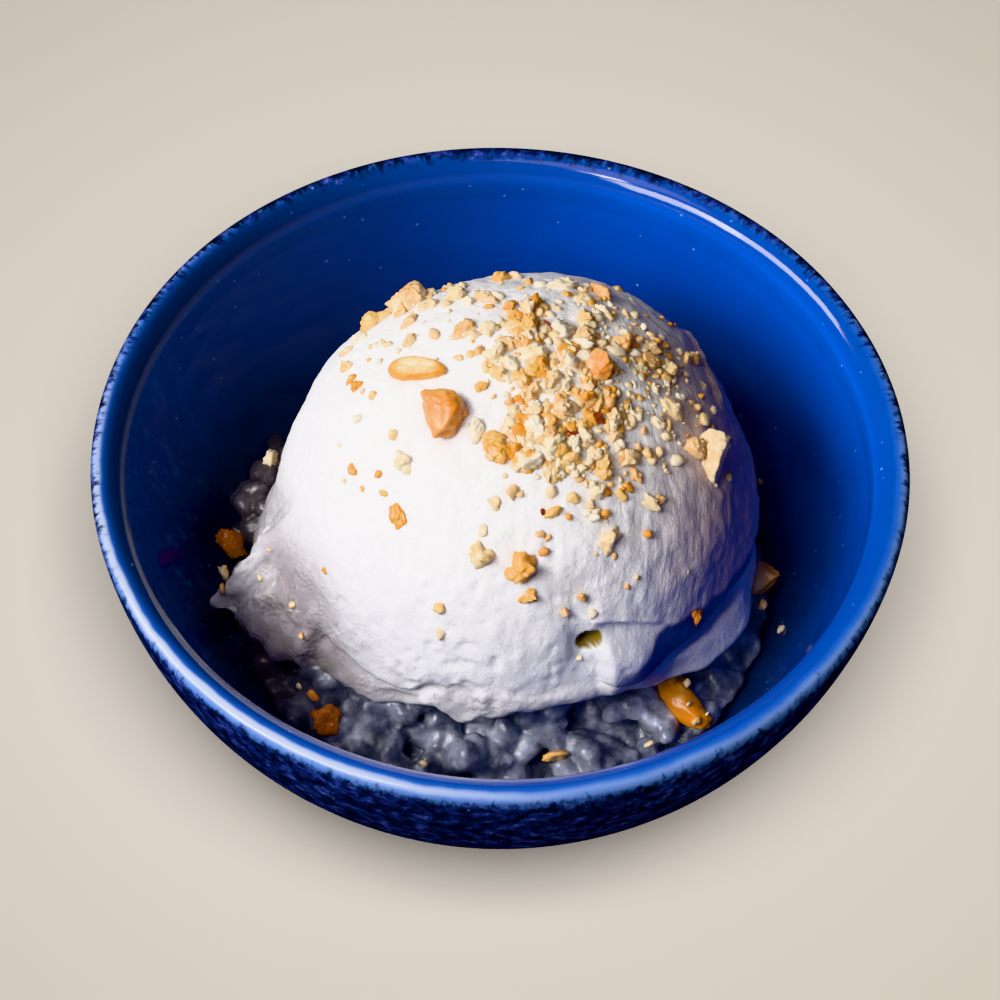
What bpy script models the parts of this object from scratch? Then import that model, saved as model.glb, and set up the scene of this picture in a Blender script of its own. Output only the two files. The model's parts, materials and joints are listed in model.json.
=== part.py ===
"""Sticky rice with ice cream and chopped peanuts, served in a glazed stoneware bowl.

Metres, +Z up. The bowl's axis is the Z axis and its foot stands on z = 0.
The front of the serving, where the rice shows under the scoop, faces -Y.
"""
import math
import random

import bmesh
import bpy
from mathutils import Matrix, Vector, noise

MM = 0.001

# Bowl: its widest circle, the belly's curve down to the foot, and the wall.
BOWL_RADIUS = 57.5 * MM
RIM_HEIGHT = 44.0 * MM
BELLY_DEPTH = 40.0 * MM
BELLY_FOOT_RADIUS = 25.0 * MM
BELLY_POWER = 1.46
BELLY_ROUNDNESS = 2.42
WALL_AT_RIM = 4.6 * MM
WALL_AT_BASE = 5.0 * MM
BOWL_SEGMENTS = 64
BELLY_POINTS = 9

# Lip: a rounded crest, then an inner edge and a shoulder that turns down the wall.
CREST_INSET, CREST_RISE = 2.3 * MM, 1.3 * MM
EDGE_INSET, EDGE_RISE = 3.9 * MM, 1.05 * MM
SHOULDER_INSET, SHOULDER_RISE = 4.4 * MM, 0.55 * MM

# Foot ring and the shallow hollow under the base.
FOOT_RADIUS = 27.0 * MM
FOOT_WIDTH = 4.5 * MM
FOOT_EDGE = 0.6 * MM
BASE_HOLLOW = 3.0 * MM

# Room left between two pieces that touch.
GAP = 0.35 * MM

# Ice cream: a ball pressed from a scoop, off the bowl's axis, with a squashed skirt.
SCOOP_CENTRE = Vector((2.7, 2.0, 27.6)) * MM
SCOOP_RADIUS = 34.9 * MM
SCOOP_COLUMNS = 64
DOME_RINGS = 11
SKIRT_THICKNESS = 1.8 * MM
BASE_RADIUS = 23.5 * MM
TAIL_ANGLE = -164.0
TAIL_CROWDING = 0.55
LUMP_HEIGHT = 0.35 * MM
LUMP_WIDTH = 9.0 * MM

# Broad swells and hollows of the dome: azimuth, tilt and spread in degrees, height.
SWELLS = (
    (108.0, 54.0, 20.0, -0.7 * MM),
    (52.0, 58.0, 18.0, 0.6 * MM),
    (15.0, 72.0, 14.0, -0.5 * MM),
)

# Stations round the scoop's lower edge, in degrees and millimetres:
# angle, height where the dome ends, depth and drop of the crease below it,
# and the skirt's outer edge as reach from the scoop's axis and height.
SKIRT_STATIONS = (
    (-172.0, 28.5, 0.0, 0.8, 38.8, 23.0),
    (-168.0, 28.5, 0.0, 0.8, 42.6, 22.6),
    (-164.0, 28.5, 0.0, 0.8, 47.0, 22.0),
    (-158.0, 28.4, 0.2, 0.8, 44.5, 22.0),
    (-150.0, 28.3, 0.4, 0.8, 41.8, 22.0),
    (-144.0, 28.2, 0.7, 0.8, 40.3, 22.0),
    (-139.0, 28.1, 1.0, 0.8, 37.4, 22.0),
    (-126.0, 27.2, 1.3, 0.9, 35.6, 22.2),
    (-117.0, 27.6, 1.3, 0.9, 33.6, 23.0),
    (-109.0, 30.8, 1.0, 0.9, 34.2, 26.5),
    (-102.0, 33.5, 0.6, 0.8, 34.3, 23.8),
    (-96.0, 33.0, 0.1, 0.8, 34.6, 26.5),
    (-88.0, 31.5, 0.0, 0.5, 34.7, 28.8),
    (-68.0, 32.5, 0.0, 0.5, 34.6, 30.6),
    (-57.0, 32.7, 3.0, 4.0, 31.5, 24.5),
    (-48.0, 33.8, 4.0, 5.0, 33.8, 23.5),
    (-30.0, 34.2, 4.0, 5.0, 36.2, 23.5),
    (-14.0, 33.0, 3.5, 4.5, 34.5, 23.5),
    (5.0, 30.0, 1.2, 1.6, 34.3, 24.0),
    (60.0, 28.5, 0.3, 0.8, 34.8, 24.0),
    (110.0, 28.5, 0.2, 0.8, 35.6, 23.5),
    (160.0, 28.5, 0.0, 0.8, 35.2, 23.3),
)

# Air pocket pressed into the front of the dome.
POCKET_AZIMUTH, POCKET_TILT = -71.5, 71.0
POCKET_SPIN = 25.0
POCKET_SIZE = (1.9 * MM, 1.3 * MM, 3.6 * MM)

# Rice: a low heap under the scoop, falling to the bowl's wall.
HEAP_TOP = 24.0 * MM
HEAP_PLATEAU = 23.5 * MM
HEAP_FALL_POWER = 0.9
HEAP_RIM_HEIGHT = 14.5 * MM
HEAP_RIM_SWING = 1.2 * MM
HEAP_COLUMNS = 48
HEAP_STEPS = 6
GRAIN_RELIEF = 0.7 * MM
GRAIN_SIZE = 5.0 * MM
CLUMP_PLACE = Vector((-35.5, 7.0, 0.0)) * MM
CLUMP_HEIGHT = 4.5 * MM
CLUMP_SPREAD = 3.6 * MM

# Peanut chips: a ball 1 across before scaling, its bed and its broken flats.
CHIP_BED = 0.30
CHIP_FLATS = 7
CHIP_DEPTHS = (0.30, 0.42)
NUT_SINK = 0.9 * MM

# Name, look, size in millimetres, then azimuth, tilt and spin on the dome in degrees.
NUTS_ON_SCOOP = (
    ("peanut_slice", "peanut_golden", (9.4, 3.8, 3.0), 177.0, 24.5, -19.0),
    ("peanut_chunk_top", "peanut_roasted", (7.2, 8.0, 5.4), -145.0, 22.0, 30.0),
    ("peanut_chunk_crown", "peanut_roasted", (4.6, 5.6, 4.2), 2.0, 17.0, 10.0),
    ("peanut_chunk_side", "peanut_pale", (4.6, 7.8, 5.0), -12.0, 50.0, 15.0),
    ("peanut_chunk_back", "peanut_pale", (6.2, 5.6, 4.6), 132.0, 44.0, 40.0),
    ("peanut_chunk_edge", "peanut_golden", (5.4, 4.6, 4.2), 142.0, 50.0, 0.0),
)

# Name, look, size and place in millimetres, and turn about X, Y and Z in degrees.
NUTS_IN_BOWL = (
    ("peanut_chunk_wall", "peanut_pale", (6.2, 5.0, 4.6), (38.0, -2.8, 19.4), (20.0, -35.0, 15.0)),
    ("peanut_chunk_left", "peanut_roasted", (6.6, 4.4, 4.2), (-39.0, 0.6, 19.4), (0.0, 40.0, -30.0)),
    ("peanut_chunk_front", "peanut_roasted", (6.4, 5.2, 4.4), (-24.0, -28.2, 19.4), (0.0, 0.0, 20.0)),
)

# Peanut half that lies on the rice: length, width and thickness, then its bend.
HALF_SIZE = (11.0 * MM, 4.6 * MM, 4.4 * MM)
HALF_BEND = 9.5 * MM
HALF_FLAT = 0.12
HALF_PLACE = Vector((26.6, -24.6, 19.6)) * MM
HALF_TURN = (0.0, 8.0, -55.0)

COLOURS = {
    "cobalt_glaze": ((0.012, 0.06, 0.33), 0.12),
    "ice_cream": ((0.88, 0.85, 0.88), 0.45),
    "sticky_rice": ((0.50, 0.53, 0.60), 0.30),
    "peanut_golden": ((0.83, 0.52, 0.20), 0.45),
    "peanut_roasted": ((0.62, 0.29, 0.10), 0.50),
    "peanut_pale": ((0.88, 0.70, 0.42), 0.50),
}


def finish(name):
    """Principled material of one of the serving's foods or glazes."""
    colour, roughness = COLOURS[name]
    material = bpy.data.materials.get(name) or bpy.data.materials.new(name)
    material.use_nodes = True
    shader = material.node_tree.nodes["Principled BSDF"]
    shader.inputs["Base Color"].default_value = (*colour, 1.0)
    shader.inputs["Roughness"].default_value = roughness
    shader.inputs["Metallic"].default_value = 0.0
    return material


def add_object(name, mesh, material, collection):
    """Object of the serving, in its collection, with its material."""
    mesh.materials.append(finish(material))
    piece = bpy.data.objects.new(name, mesh)
    collection.objects.link(piece)
    return piece


def polar(radius, degrees, height):
    """Point at a radius and an angle round the Z axis."""
    angle = math.radians(degrees)
    return Vector((radius * math.cos(angle), radius * math.sin(angle), height))


def ease(t):
    """Smooth step from 0 to 1."""
    return t * t * (3.0 - 2.0 * t)


# ---------------------------------------------------------------- bowl

def belly_radius(depth):
    """Outer radius at a depth below the widest circle."""
    share = 1.0 - (depth / BELLY_DEPTH) ** BELLY_POWER
    spread = BOWL_RADIUS - BELLY_FOOT_RADIUS
    return BELLY_FOOT_RADIUS + spread * max(share, 0.0) ** (1.0 / BELLY_ROUNDNESS)


def belly_walls(count):
    """Outer and inner wall points, rim to base; the inner lie one wall thickness in."""
    step = 1e-4 * BELLY_DEPTH
    outer, inner = [], []
    for k in range(count):
        share = math.sin(0.5 * math.pi * k / (count - 1))
        depth = min(max(share * BELLY_DEPTH, 2.0 * step), BELLY_DEPTH - 2.0 * step)
        slope = (belly_radius(depth + step) - belly_radius(depth - step)) / (2.0 * step)
        normal = Vector((1.0, slope)).normalized()
        wall = WALL_AT_RIM + (WALL_AT_BASE - WALL_AT_RIM) * share
        point = Vector((belly_radius(depth), RIM_HEIGHT - depth))
        outer.append(point)
        inner.append(point - wall * normal)
    return outer, inner


def lip_points():
    """Shoulder, inner edge and crest, from the inside outwards."""
    crest_radius = BOWL_RADIUS - CREST_INSET
    points = [
        (BOWL_RADIUS - SHOULDER_INSET, RIM_HEIGHT + SHOULDER_RISE),
        (BOWL_RADIUS - EDGE_INSET, RIM_HEIGHT + EDGE_RISE),
        (crest_radius, RIM_HEIGHT + CREST_RISE),
    ]
    for degrees in (55.0, 25.0):
        turn = math.radians(degrees)
        rise = CREST_RISE * math.sin(turn)
        points.append((crest_radius + CREST_INSET * math.cos(turn), RIM_HEIGHT + rise))
    return [Vector(point) for point in points]


def foot_points():
    """Foot ring and the hollow under the base, outside to centre."""
    inside = FOOT_RADIUS - FOOT_WIDTH
    return [Vector(point) for point in (
        (FOOT_RADIUS, RIM_HEIGHT - BELLY_DEPTH),
        (FOOT_RADIUS, FOOT_EDGE),
        (FOOT_RADIUS - FOOT_EDGE, 0.0),
        (inside + FOOT_EDGE, 0.0),
        (inside, BASE_HOLLOW),
        (0.0, BASE_HOLLOW),
    )]


def inner_wall_radius(height):
    """Radius of the bowl's inside at a height."""
    _, inner = belly_walls(60)
    for upper, lower in zip(inner, inner[1:]):
        if lower.y <= height <= upper.y:
            share = (upper.y - height) / (upper.y - lower.y)
            return upper.x + (lower.x - upper.x) * share
    return inner[-1].x


def build_bowl(collection):
    """Turned bowl: floor, inner wall, lip, outer wall and foot as one profile."""
    outer, inner = belly_walls(BELLY_POINTS)
    floor = inner[-1].y
    above_foot = [point for point in outer if point.x > FOOT_RADIUS + 1.0 * MM]
    profile = [Vector((0.0, floor))] + inner[::-1] + lip_points() + above_foot + foot_points()
    mesh = bpy.data.meshes.new("bowl")
    edges = [(k, k + 1) for k in range(len(profile) - 1)]
    mesh.from_pydata([(point.x, 0.0, point.y) for point in profile], edges, [])
    bowl = add_object("bowl", mesh, "cobalt_glaze", collection)
    turn = bowl.modifiers.new("turn", "SCREW")
    turn.axis = "Z"
    turn.angle = 2.0 * math.pi
    turn.steps = turn.render_steps = BOWL_SEGMENTS
    turn.use_merge_vertices = True
    turn.merge_threshold = 0.00001
    return bowl


# ---------------------------------------------------------------- shaped solids

def shaped_sphere(name, columns, station, crowd=None):
    """Closed mesh from a UV sphere whose rings follow station(angle), crown to base."""
    rings = len(station(0.0)) - 1
    bm = bmesh.new()
    bmesh.ops.create_uvsphere(bm, u_segments=columns, v_segments=rings, radius=1.0)
    stations = {}
    for vert in bm.verts:
        ring = round(math.acos(max(-1.0, min(1.0, vert.co.z))) / math.pi * rings)
        column = round(math.atan2(vert.co.y, vert.co.x) / (2.0 * math.pi) * columns)
        angle = 360.0 * column / columns
        if crowd:
            angle = crowd(angle)
        if column not in stations:
            stations[column] = station(angle)
        vert.co = stations[column][ring]
    mesh = bpy.data.meshes.new(name)
    bm.to_mesh(mesh)
    bm.free()
    mesh.shade_smooth()
    mesh.set_sharp_from_angle(angle=math.radians(50.0))
    return mesh


def skirt_at(degrees):
    """Sizes of the scoop's lower edge at an angle, eased between its stations."""
    stations = list(SKIRT_STATIONS)
    first, last = stations[0], stations[-1]
    stations = [(last[0] - 360.0, *last[1:])] + stations + [(first[0] + 360.0, *first[1:])]
    degrees = (degrees - stations[0][0]) % 360.0 + stations[0][0]
    for before, after in zip(stations, stations[1:]):
        if before[0] <= degrees <= after[0]:
            t = ease((degrees - before[0]) / (after[0] - before[0]))
            return [(a + (b - a) * t) * MM for a, b in zip(before[1:], after[1:])]
    return [value * MM for value in last[1:]]


def direction(azimuth, tilt):
    """Unit vector by azimuth round Z and tilt from Z, both in degrees."""
    lean = math.radians(tilt)
    return polar(math.sin(lean), azimuth, math.cos(lean))


def unevenness(out):
    """How far the dome stands proud of a ball in the direction of a unit vector."""
    height = LUMP_HEIGHT * noise.noise(out * SCOOP_RADIUS / LUMP_WIDTH)
    for azimuth, tilt, spread, swell in SWELLS:
        away = math.degrees(out.angle(direction(azimuth, tilt)))
        height += swell * math.exp(-(away / spread) ** 2)
    return height


def dome_point(azimuth, tilt, proud=0.0):
    """Point on the dome, by azimuth and by tilt from its crown, both in degrees."""
    out = direction(azimuth, tilt)
    return SCOOP_CENTRE + out * (SCOOP_RADIUS + unevenness(out) + proud)


def scoop_station(degrees):
    """Outline of the ice cream in the half plane at an angle, crown to base centre."""
    dome_end, crease, drop, reach, edge = skirt_at(degrees)
    tilt = math.degrees(math.acos((dome_end - SCOOP_CENTRE.z) / SCOOP_RADIUS))
    points = [dome_point(degrees, tilt * k / DOME_RINGS) for k in range(DOME_RINGS + 1)]
    axis = Vector((SCOOP_CENTRE.x, SCOOP_CENTRE.y, 0.0))
    rim = (points[-1] - axis).to_2d().length
    base = HEAP_TOP + GAP
    notch = rim - crease
    below = dome_end - drop
    skirt = [
        (notch, below),
        (0.45 * notch + 0.55 * reach, 0.55 * below + 0.45 * edge + 0.3 * MM),
        (reach - 0.4 * MM, edge + 0.7 * MM),
        (reach, edge),
        (reach - 1.2 * MM, edge - SKIRT_THICKNESS),
        (0.5 * (reach + BASE_RADIUS), 0.5 * (edge - SKIRT_THICKNESS + base)),
        (BASE_RADIUS, base),
        (0.0, base),
    ]
    return points + [axis + polar(radius, degrees, height) for radius, height in skirt]


def crowd_to_tail(degrees):
    """Angle moved so that the columns lie closer together at the skirt's tail."""
    turn = math.radians(degrees - TAIL_ANGLE)
    return degrees - math.degrees(TAIL_CROWDING * math.sin(turn))


def frame_on_dome(azimuth, tilt, proud, spin=0.0):
    """Matrix that stands a piece on the dome, its Z outwards, spun about that Z."""
    place = dome_point(azimuth, tilt, proud)
    stand = Vector((0.0, 0.0, 1.0)).rotation_difference(place - SCOOP_CENTRE)
    turn = Matrix.Rotation(math.radians(spin), 4, "Z")
    return Matrix.Translation(place) @ stand.to_matrix().to_4x4() @ turn


def add_cutter(name, mesh, matrix, cutters):
    """Hidden solid that is cut out of the ice cream."""
    cutter = bpy.data.objects.new(name, mesh)
    cutter.matrix_world = matrix
    cutter.hide_render = True
    cutter.display_type = "WIRE"
    cutters.objects.link(cutter)


def build_ice_cream(collection, cutters):
    """Scoop with its skirt and tail, cut for its air pocket and for the peanuts in it."""
    mesh = shaped_sphere("ice_cream", SCOOP_COLUMNS, scoop_station, crowd_to_tail)
    scoop = add_object("ice_cream", mesh, "ice_cream", collection)

    bm = bmesh.new()
    bmesh.ops.create_uvsphere(bm, u_segments=16, v_segments=8, radius=1.0)
    bmesh.ops.scale(bm, verts=bm.verts, vec=POCKET_SIZE)
    pocket = bpy.data.meshes.new("pocket_cutter")
    bm.to_mesh(pocket)
    bm.free()
    stand = frame_on_dome(POCKET_AZIMUTH, POCKET_TILT, 0.0, POCKET_SPIN)
    add_cutter("pocket_cutter", pocket, stand, cutters)

    cut = scoop.modifiers.new("pocket_and_sockets", "BOOLEAN")
    cut.operation = "DIFFERENCE"
    cut.solver = "EXACT"
    cut.operand_type = "COLLECTION"
    cut.collection = cutters
    return scoop


# ---------------------------------------------------------------- rice

def rice_station(degrees):
    """Outline of the rice at an angle: heap top, slope, wall and floor."""
    centre = Vector((SCOOP_CENTRE.x, SCOOP_CENTRE.y, 0.0))
    swing = noise.noise(polar(1.3, degrees, 0.0))
    rim_height = HEAP_RIM_HEIGHT + HEAP_RIM_SWING * swing
    rim = polar(inner_wall_radius(rim_height) - GAP, degrees, rim_height)
    out = rim - centre
    out.z = 0.0
    run = out.length
    points = [centre + Vector((0.0, 0.0, HEAP_TOP))]
    for step in range(HEAP_STEPS):
        share = step / HEAP_STEPS
        distance = HEAP_PLATEAU + (run - HEAP_PLATEAU) * share
        fall = (HEAP_TOP - rim_height) * share ** HEAP_FALL_POWER
        point = centre + out * (distance / run)
        relief = noise.noise(point / GRAIN_SIZE) * GRAIN_RELIEF * min(1.0, 2.0 * share)
        away = (point - CLUMP_PLACE).length / CLUMP_SPREAD
        clump = CLUMP_HEIGHT * math.exp(-away ** 2)
        point.z = HEAP_TOP - fall + relief + clump
        points.append(point)
    points.append(rim)
    _, inner = belly_walls(BELLY_POINTS * 2)
    floor = inner[-1].y
    for share in (0.62, 0.3, 0.0):
        height = floor + (rim_height - floor) * share
        radius = inner_wall_radius(height) if share else BELLY_FOOT_RADIUS
        points.append(polar(radius - 1.5 * GAP, degrees, height + GAP))
    points.append(Vector((0.0, 0.0, floor + GAP)))
    return points


def build_rice(collection):
    """Heap of sticky rice, one solid out to its uneven outline."""
    mesh = shaped_sphere("rice_heap", HEAP_COLUMNS, rice_station)
    return add_object("rice_heap", mesh, "sticky_rice", collection)


# ---------------------------------------------------------------- peanuts

def nut_chunk(name, size, seed):
    """Chipped piece of peanut: a small ball with flats broken off it."""
    chance = random.Random(seed)
    flats = [(Vector((0.0, 0.0, -1.0)), CHIP_BED)]
    for _ in range(CHIP_FLATS):
        normal = Vector([chance.gauss(0.0, 1.0) for _ in range(3)]).normalized()
        flats.append((normal, chance.uniform(*CHIP_DEPTHS)))
    bm = bmesh.new()
    bmesh.ops.create_icosphere(bm, subdivisions=2, radius=0.5)
    for vert in bm.verts:
        for normal, depth in flats:
            vert.co -= normal * max(0.0, vert.co.dot(normal) - depth)
    bmesh.ops.scale(bm, verts=bm.verts, vec=size)
    mesh = bpy.data.meshes.new(name)
    bm.to_mesh(mesh)
    bm.free()
    return mesh


def nut_half(name, length, width, thickness, bend):
    """Half a peanut: domed on one face, flat on the other, bent along its length."""
    bm = bmesh.new()
    bmesh.ops.create_uvsphere(bm, u_segments=16, v_segments=8, radius=0.5)
    for vert in bm.verts:
        vert.co.z = max(vert.co.z, -HALF_FLAT)
        along, across, high = vert.co.x * length, vert.co.y * width, vert.co.z * thickness
        turn = along / bend
        vert.co.x = (bend - across) * math.sin(turn)
        vert.co.y = bend - (bend - across) * math.cos(turn)
        vert.co.z = high
    mesh = bpy.data.meshes.new(name)
    bm.to_mesh(mesh)
    bm.free()
    return mesh


def build_peanuts(collection, cutters):
    """The larger peanut pieces, sunk a little in the scoop and down beside the rice."""
    for seed, (name, look, size, azimuth, tilt, spin) in enumerate(NUTS_ON_SCOOP):
        size = Vector(size) * MM
        stand = frame_on_dome(azimuth, tilt, CHIP_BED * size.z - NUT_SINK, spin)
        piece = add_object(name, nut_chunk(name, size, seed), look, collection)
        piece.matrix_world = stand
        socket = nut_chunk(name + "_socket", size + Vector((2.0 * GAP,) * 3), seed)
        add_cutter(name + "_socket", socket, stand, cutters)
    for seed, (name, look, size, place, turn) in enumerate(NUTS_IN_BOWL):
        size = Vector(size) * MM
        mesh = nut_chunk(name, size, seed + len(NUTS_ON_SCOOP))
        piece = add_object(name, mesh, look, collection)
        piece.location = Vector(place) * MM
        piece.rotation_euler = [math.radians(angle) for angle in turn]
    mesh = nut_half("peanut_half", *HALF_SIZE, HALF_BEND)
    half = add_object("peanut_half", mesh, "peanut_golden", collection)
    half.location = HALF_PLACE
    half.rotation_euler = [math.radians(angle) for angle in HALF_TURN]


def new_collection(name):
    """Collection linked to the scene."""
    collection = bpy.data.collections.new(name)
    bpy.context.scene.collection.children.link(collection)
    return collection


def main():
    """Model the whole serving."""
    for old in list(bpy.data.objects):
        bpy.data.objects.remove(old, do_unlink=True)
    serving = new_collection("sticky_rice_with_ice_cream")
    cutters = new_collection("cutters")
    build_bowl(serving)
    build_rice(serving)
    build_ice_cream(serving, cutters)
    build_peanuts(serving, cutters)


main()
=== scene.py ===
"""Looks of a bowl of sticky rice with ice cream: glaze, ice cream, rice and peanuts.

Metres and +Z up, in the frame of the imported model. Sizes held by the classes are in
millimetres and angles in degrees; a mesh is scaled to metres when it is made.
"""
from __future__ import annotations

import json
import logging
import math
from dataclasses import dataclass, field
from enum import Enum

import bpy
import numpy as np
from mathutils import Matrix, Vector

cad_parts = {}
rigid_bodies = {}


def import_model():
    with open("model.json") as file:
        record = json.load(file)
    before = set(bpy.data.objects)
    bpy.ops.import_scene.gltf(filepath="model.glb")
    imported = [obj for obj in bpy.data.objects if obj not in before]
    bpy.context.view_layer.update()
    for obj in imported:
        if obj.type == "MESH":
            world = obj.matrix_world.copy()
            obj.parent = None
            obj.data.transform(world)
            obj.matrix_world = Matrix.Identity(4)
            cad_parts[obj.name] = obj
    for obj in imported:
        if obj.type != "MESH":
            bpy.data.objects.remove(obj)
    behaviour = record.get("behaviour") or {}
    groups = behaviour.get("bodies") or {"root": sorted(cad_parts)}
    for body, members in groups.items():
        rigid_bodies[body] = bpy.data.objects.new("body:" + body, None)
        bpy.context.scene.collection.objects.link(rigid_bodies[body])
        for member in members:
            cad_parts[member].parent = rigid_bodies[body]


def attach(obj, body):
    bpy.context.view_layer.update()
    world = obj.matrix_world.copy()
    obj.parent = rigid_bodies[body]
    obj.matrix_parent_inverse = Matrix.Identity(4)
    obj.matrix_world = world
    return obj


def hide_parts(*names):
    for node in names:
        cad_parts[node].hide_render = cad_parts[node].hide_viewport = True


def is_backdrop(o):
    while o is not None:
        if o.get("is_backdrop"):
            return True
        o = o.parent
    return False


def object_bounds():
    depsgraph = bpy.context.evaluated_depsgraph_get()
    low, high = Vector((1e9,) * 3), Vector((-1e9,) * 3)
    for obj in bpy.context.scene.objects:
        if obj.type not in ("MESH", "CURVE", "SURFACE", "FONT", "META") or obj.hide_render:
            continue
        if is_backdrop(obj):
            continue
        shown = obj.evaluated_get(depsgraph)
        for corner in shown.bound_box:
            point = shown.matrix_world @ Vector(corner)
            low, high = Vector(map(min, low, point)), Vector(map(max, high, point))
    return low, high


LOG = logging.getLogger("dessert")
MM = 0.001
BODY = "root"
RIM = 57.5
GOLDEN_ANGLE = 137.508
TABLE_SIZE = 4096
CELL_PRIMES = (73856093, 19349663, 83492791)
SMOOTH = {"interpolation_type": "SMOOTHSTEP"}
RGBA = {"data_type": "RGBA"}

Array = np.ndarray
Material = bpy.types.Material
Socket = bpy.types.NodeSocket
Pair = tuple[float, float]
Triple = tuple[float, float, float]
Colour = tuple[float, float, float, float]
Stops = tuple[tuple[float, str], ...]
Rows = tuple[tuple[float, ...], ...]


# ---------------------------------------------------------------- numbers

def ease(share: Array) -> Array:
    """Smooth step of a share from 0 to 1."""
    share = np.clip(share, 0.0, 1.0)
    return share * share * (3.0 - 2.0 * share)


def bell(distance: Array, spread: float) -> Array:
    """Gaussian bell, 1 at no distance."""
    return np.exp(-(distance / spread) ** 2)


def unit(azimuth: Array, tilt: Array) -> Array:
    """Unit vectors by azimuth round Z and tilt from Z, both in degrees.

    Args:
        azimuth: angles round Z from +X.
        tilt: angles down from +Z.

    Returns:
        Vectors with one more axis, of length 3.
    """
    turn, lean = np.radians(azimuth), np.radians(tilt)
    x, y = np.sin(lean) * np.cos(turn), np.sin(lean) * np.sin(turn)
    return np.stack((x, y, np.cos(lean) + 0.0 * turn), axis=-1)


def lattice_noise(points: Array, seed: int) -> Array:
    """Smooth noise: random values on a cubic lattice, blended between by smooth steps.

    Args:
        points: places in lattice cells, shape (..., 3).
        seed: number of the random table.

    Returns:
        Values from about -1 to 1, shape (...).
    """
    table = np.random.default_rng(seed).uniform(-1.0, 1.0, TABLE_SIZE)
    cell = np.floor(points).astype(np.int64)
    share = ease(points - cell)
    total = np.zeros(points.shape[:-1])
    for corner in np.ndindex(2, 2, 2):
        at = (cell + corner) * CELL_PRIMES
        key = (at[..., 0] ^ at[..., 1] ^ at[..., 2]) & (TABLE_SIZE - 1)
        weight = np.where(np.array(corner) == 1, share, 1.0 - share).prod(axis=-1)
        total += weight * table[key]
    return total


def layered_noise(points: Array, seed: int, layers: int = 3) -> Array:
    """Lattice noise summed over layers, each half the size and half the height.

    Args:
        points: places in cells of the coarsest layer, shape (..., 3).
        seed: number of the first layer's table.
        layers: how many layers are summed.

    Returns:
        Values from about -1 to 1, shape (...).
    """
    total = np.zeros(points.shape[:-1])
    for layer in range(layers):
        total += 0.5 ** layer * lattice_noise(points * 2.0 ** layer, seed + layer)
    return total / (2.0 - 0.5 ** (layers - 1))


def curve_through(knots: Array, count: int) -> Array:
    """Smooth curve through knots: cubic Hermite pieces whose parameter is chord length.

    Args:
        knots: points in order along axis 0, shape (k, ..., d).
        count: number of points on the curve.

    Returns:
        Points evenly spread in the parameter, shape (count, ..., d).
    """
    chords = np.linalg.norm(np.diff(knots, axis=0), axis=-1)
    chords = chords.reshape(len(chords), -1).mean(axis=1)
    at = np.concatenate(([0.0], np.cumsum(chords)))
    slopes = np.gradient(knots, at, axis=0)
    want = np.linspace(0.0, at[-1], count)
    piece = np.clip(np.searchsorted(at, want, side="right") - 1, 0, len(at) - 2)
    shape = (count,) + (1,) * (knots.ndim - 1)
    span = (at[piece + 1] - at[piece]).reshape(shape)
    t = ((want - at[piece]).reshape(shape)) / span
    start, end = knots[piece], knots[piece + 1]
    rise, fall = slopes[piece] * span, slopes[piece + 1] * span
    blend = (2 * t**3 - 3 * t**2 + 1) * start + (3 * t**2 - 2 * t**3) * end
    return blend + (t**3 - 2 * t**2 + t) * rise + (t**3 - t**2) * fall


def crowded(low: float, high: float, count: int, crowds: Rows) -> Array:
    """Numbers from low to high that lie closer together near some places.

    Args:
        low: first number.
        high: number after the last one.
        count: how many numbers.
        crowds: for each place, its number, its spread and how much denser it is.

    Returns:
        The numbers in rising order.
    """
    fine = np.linspace(low, high, TABLE_SIZE)
    density = np.ones_like(fine)
    for place, spread, extra in crowds:
        density += extra * bell(fine - place, spread)
    total = np.concatenate(([0.0], np.cumsum(0.5 * (density[1:] + density[:-1]))))
    return np.interp(np.arange(count) / count, total / total[-1], fine)


def standing(normals: Array, spins: Array) -> Array:
    """Rotation matrices that turn +Z to each normal, after a spin about Z.

    Args:
        normals: unit vectors, shape (n, 3).
        spins: angles in degrees, shape (n,).

    Returns:
        Matrices whose columns are the turned axes, shape (n, 3, 3).
    """
    away = np.where(np.abs(normals[:, 2:]) < 0.9, (0.0, 0.0, 1.0), (1.0, 0.0, 0.0))
    side = np.cross(away, normals)
    side /= np.linalg.norm(side, axis=1, keepdims=True)
    front = np.cross(normals, side)
    cos, sin = np.cos(np.radians(spins))[:, None], np.sin(np.radians(spins))[:, None]
    return np.stack((side * cos + front * sin, front * cos - side * sin, normals), axis=2)


# ---------------------------------------------------------------- meshes

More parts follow.
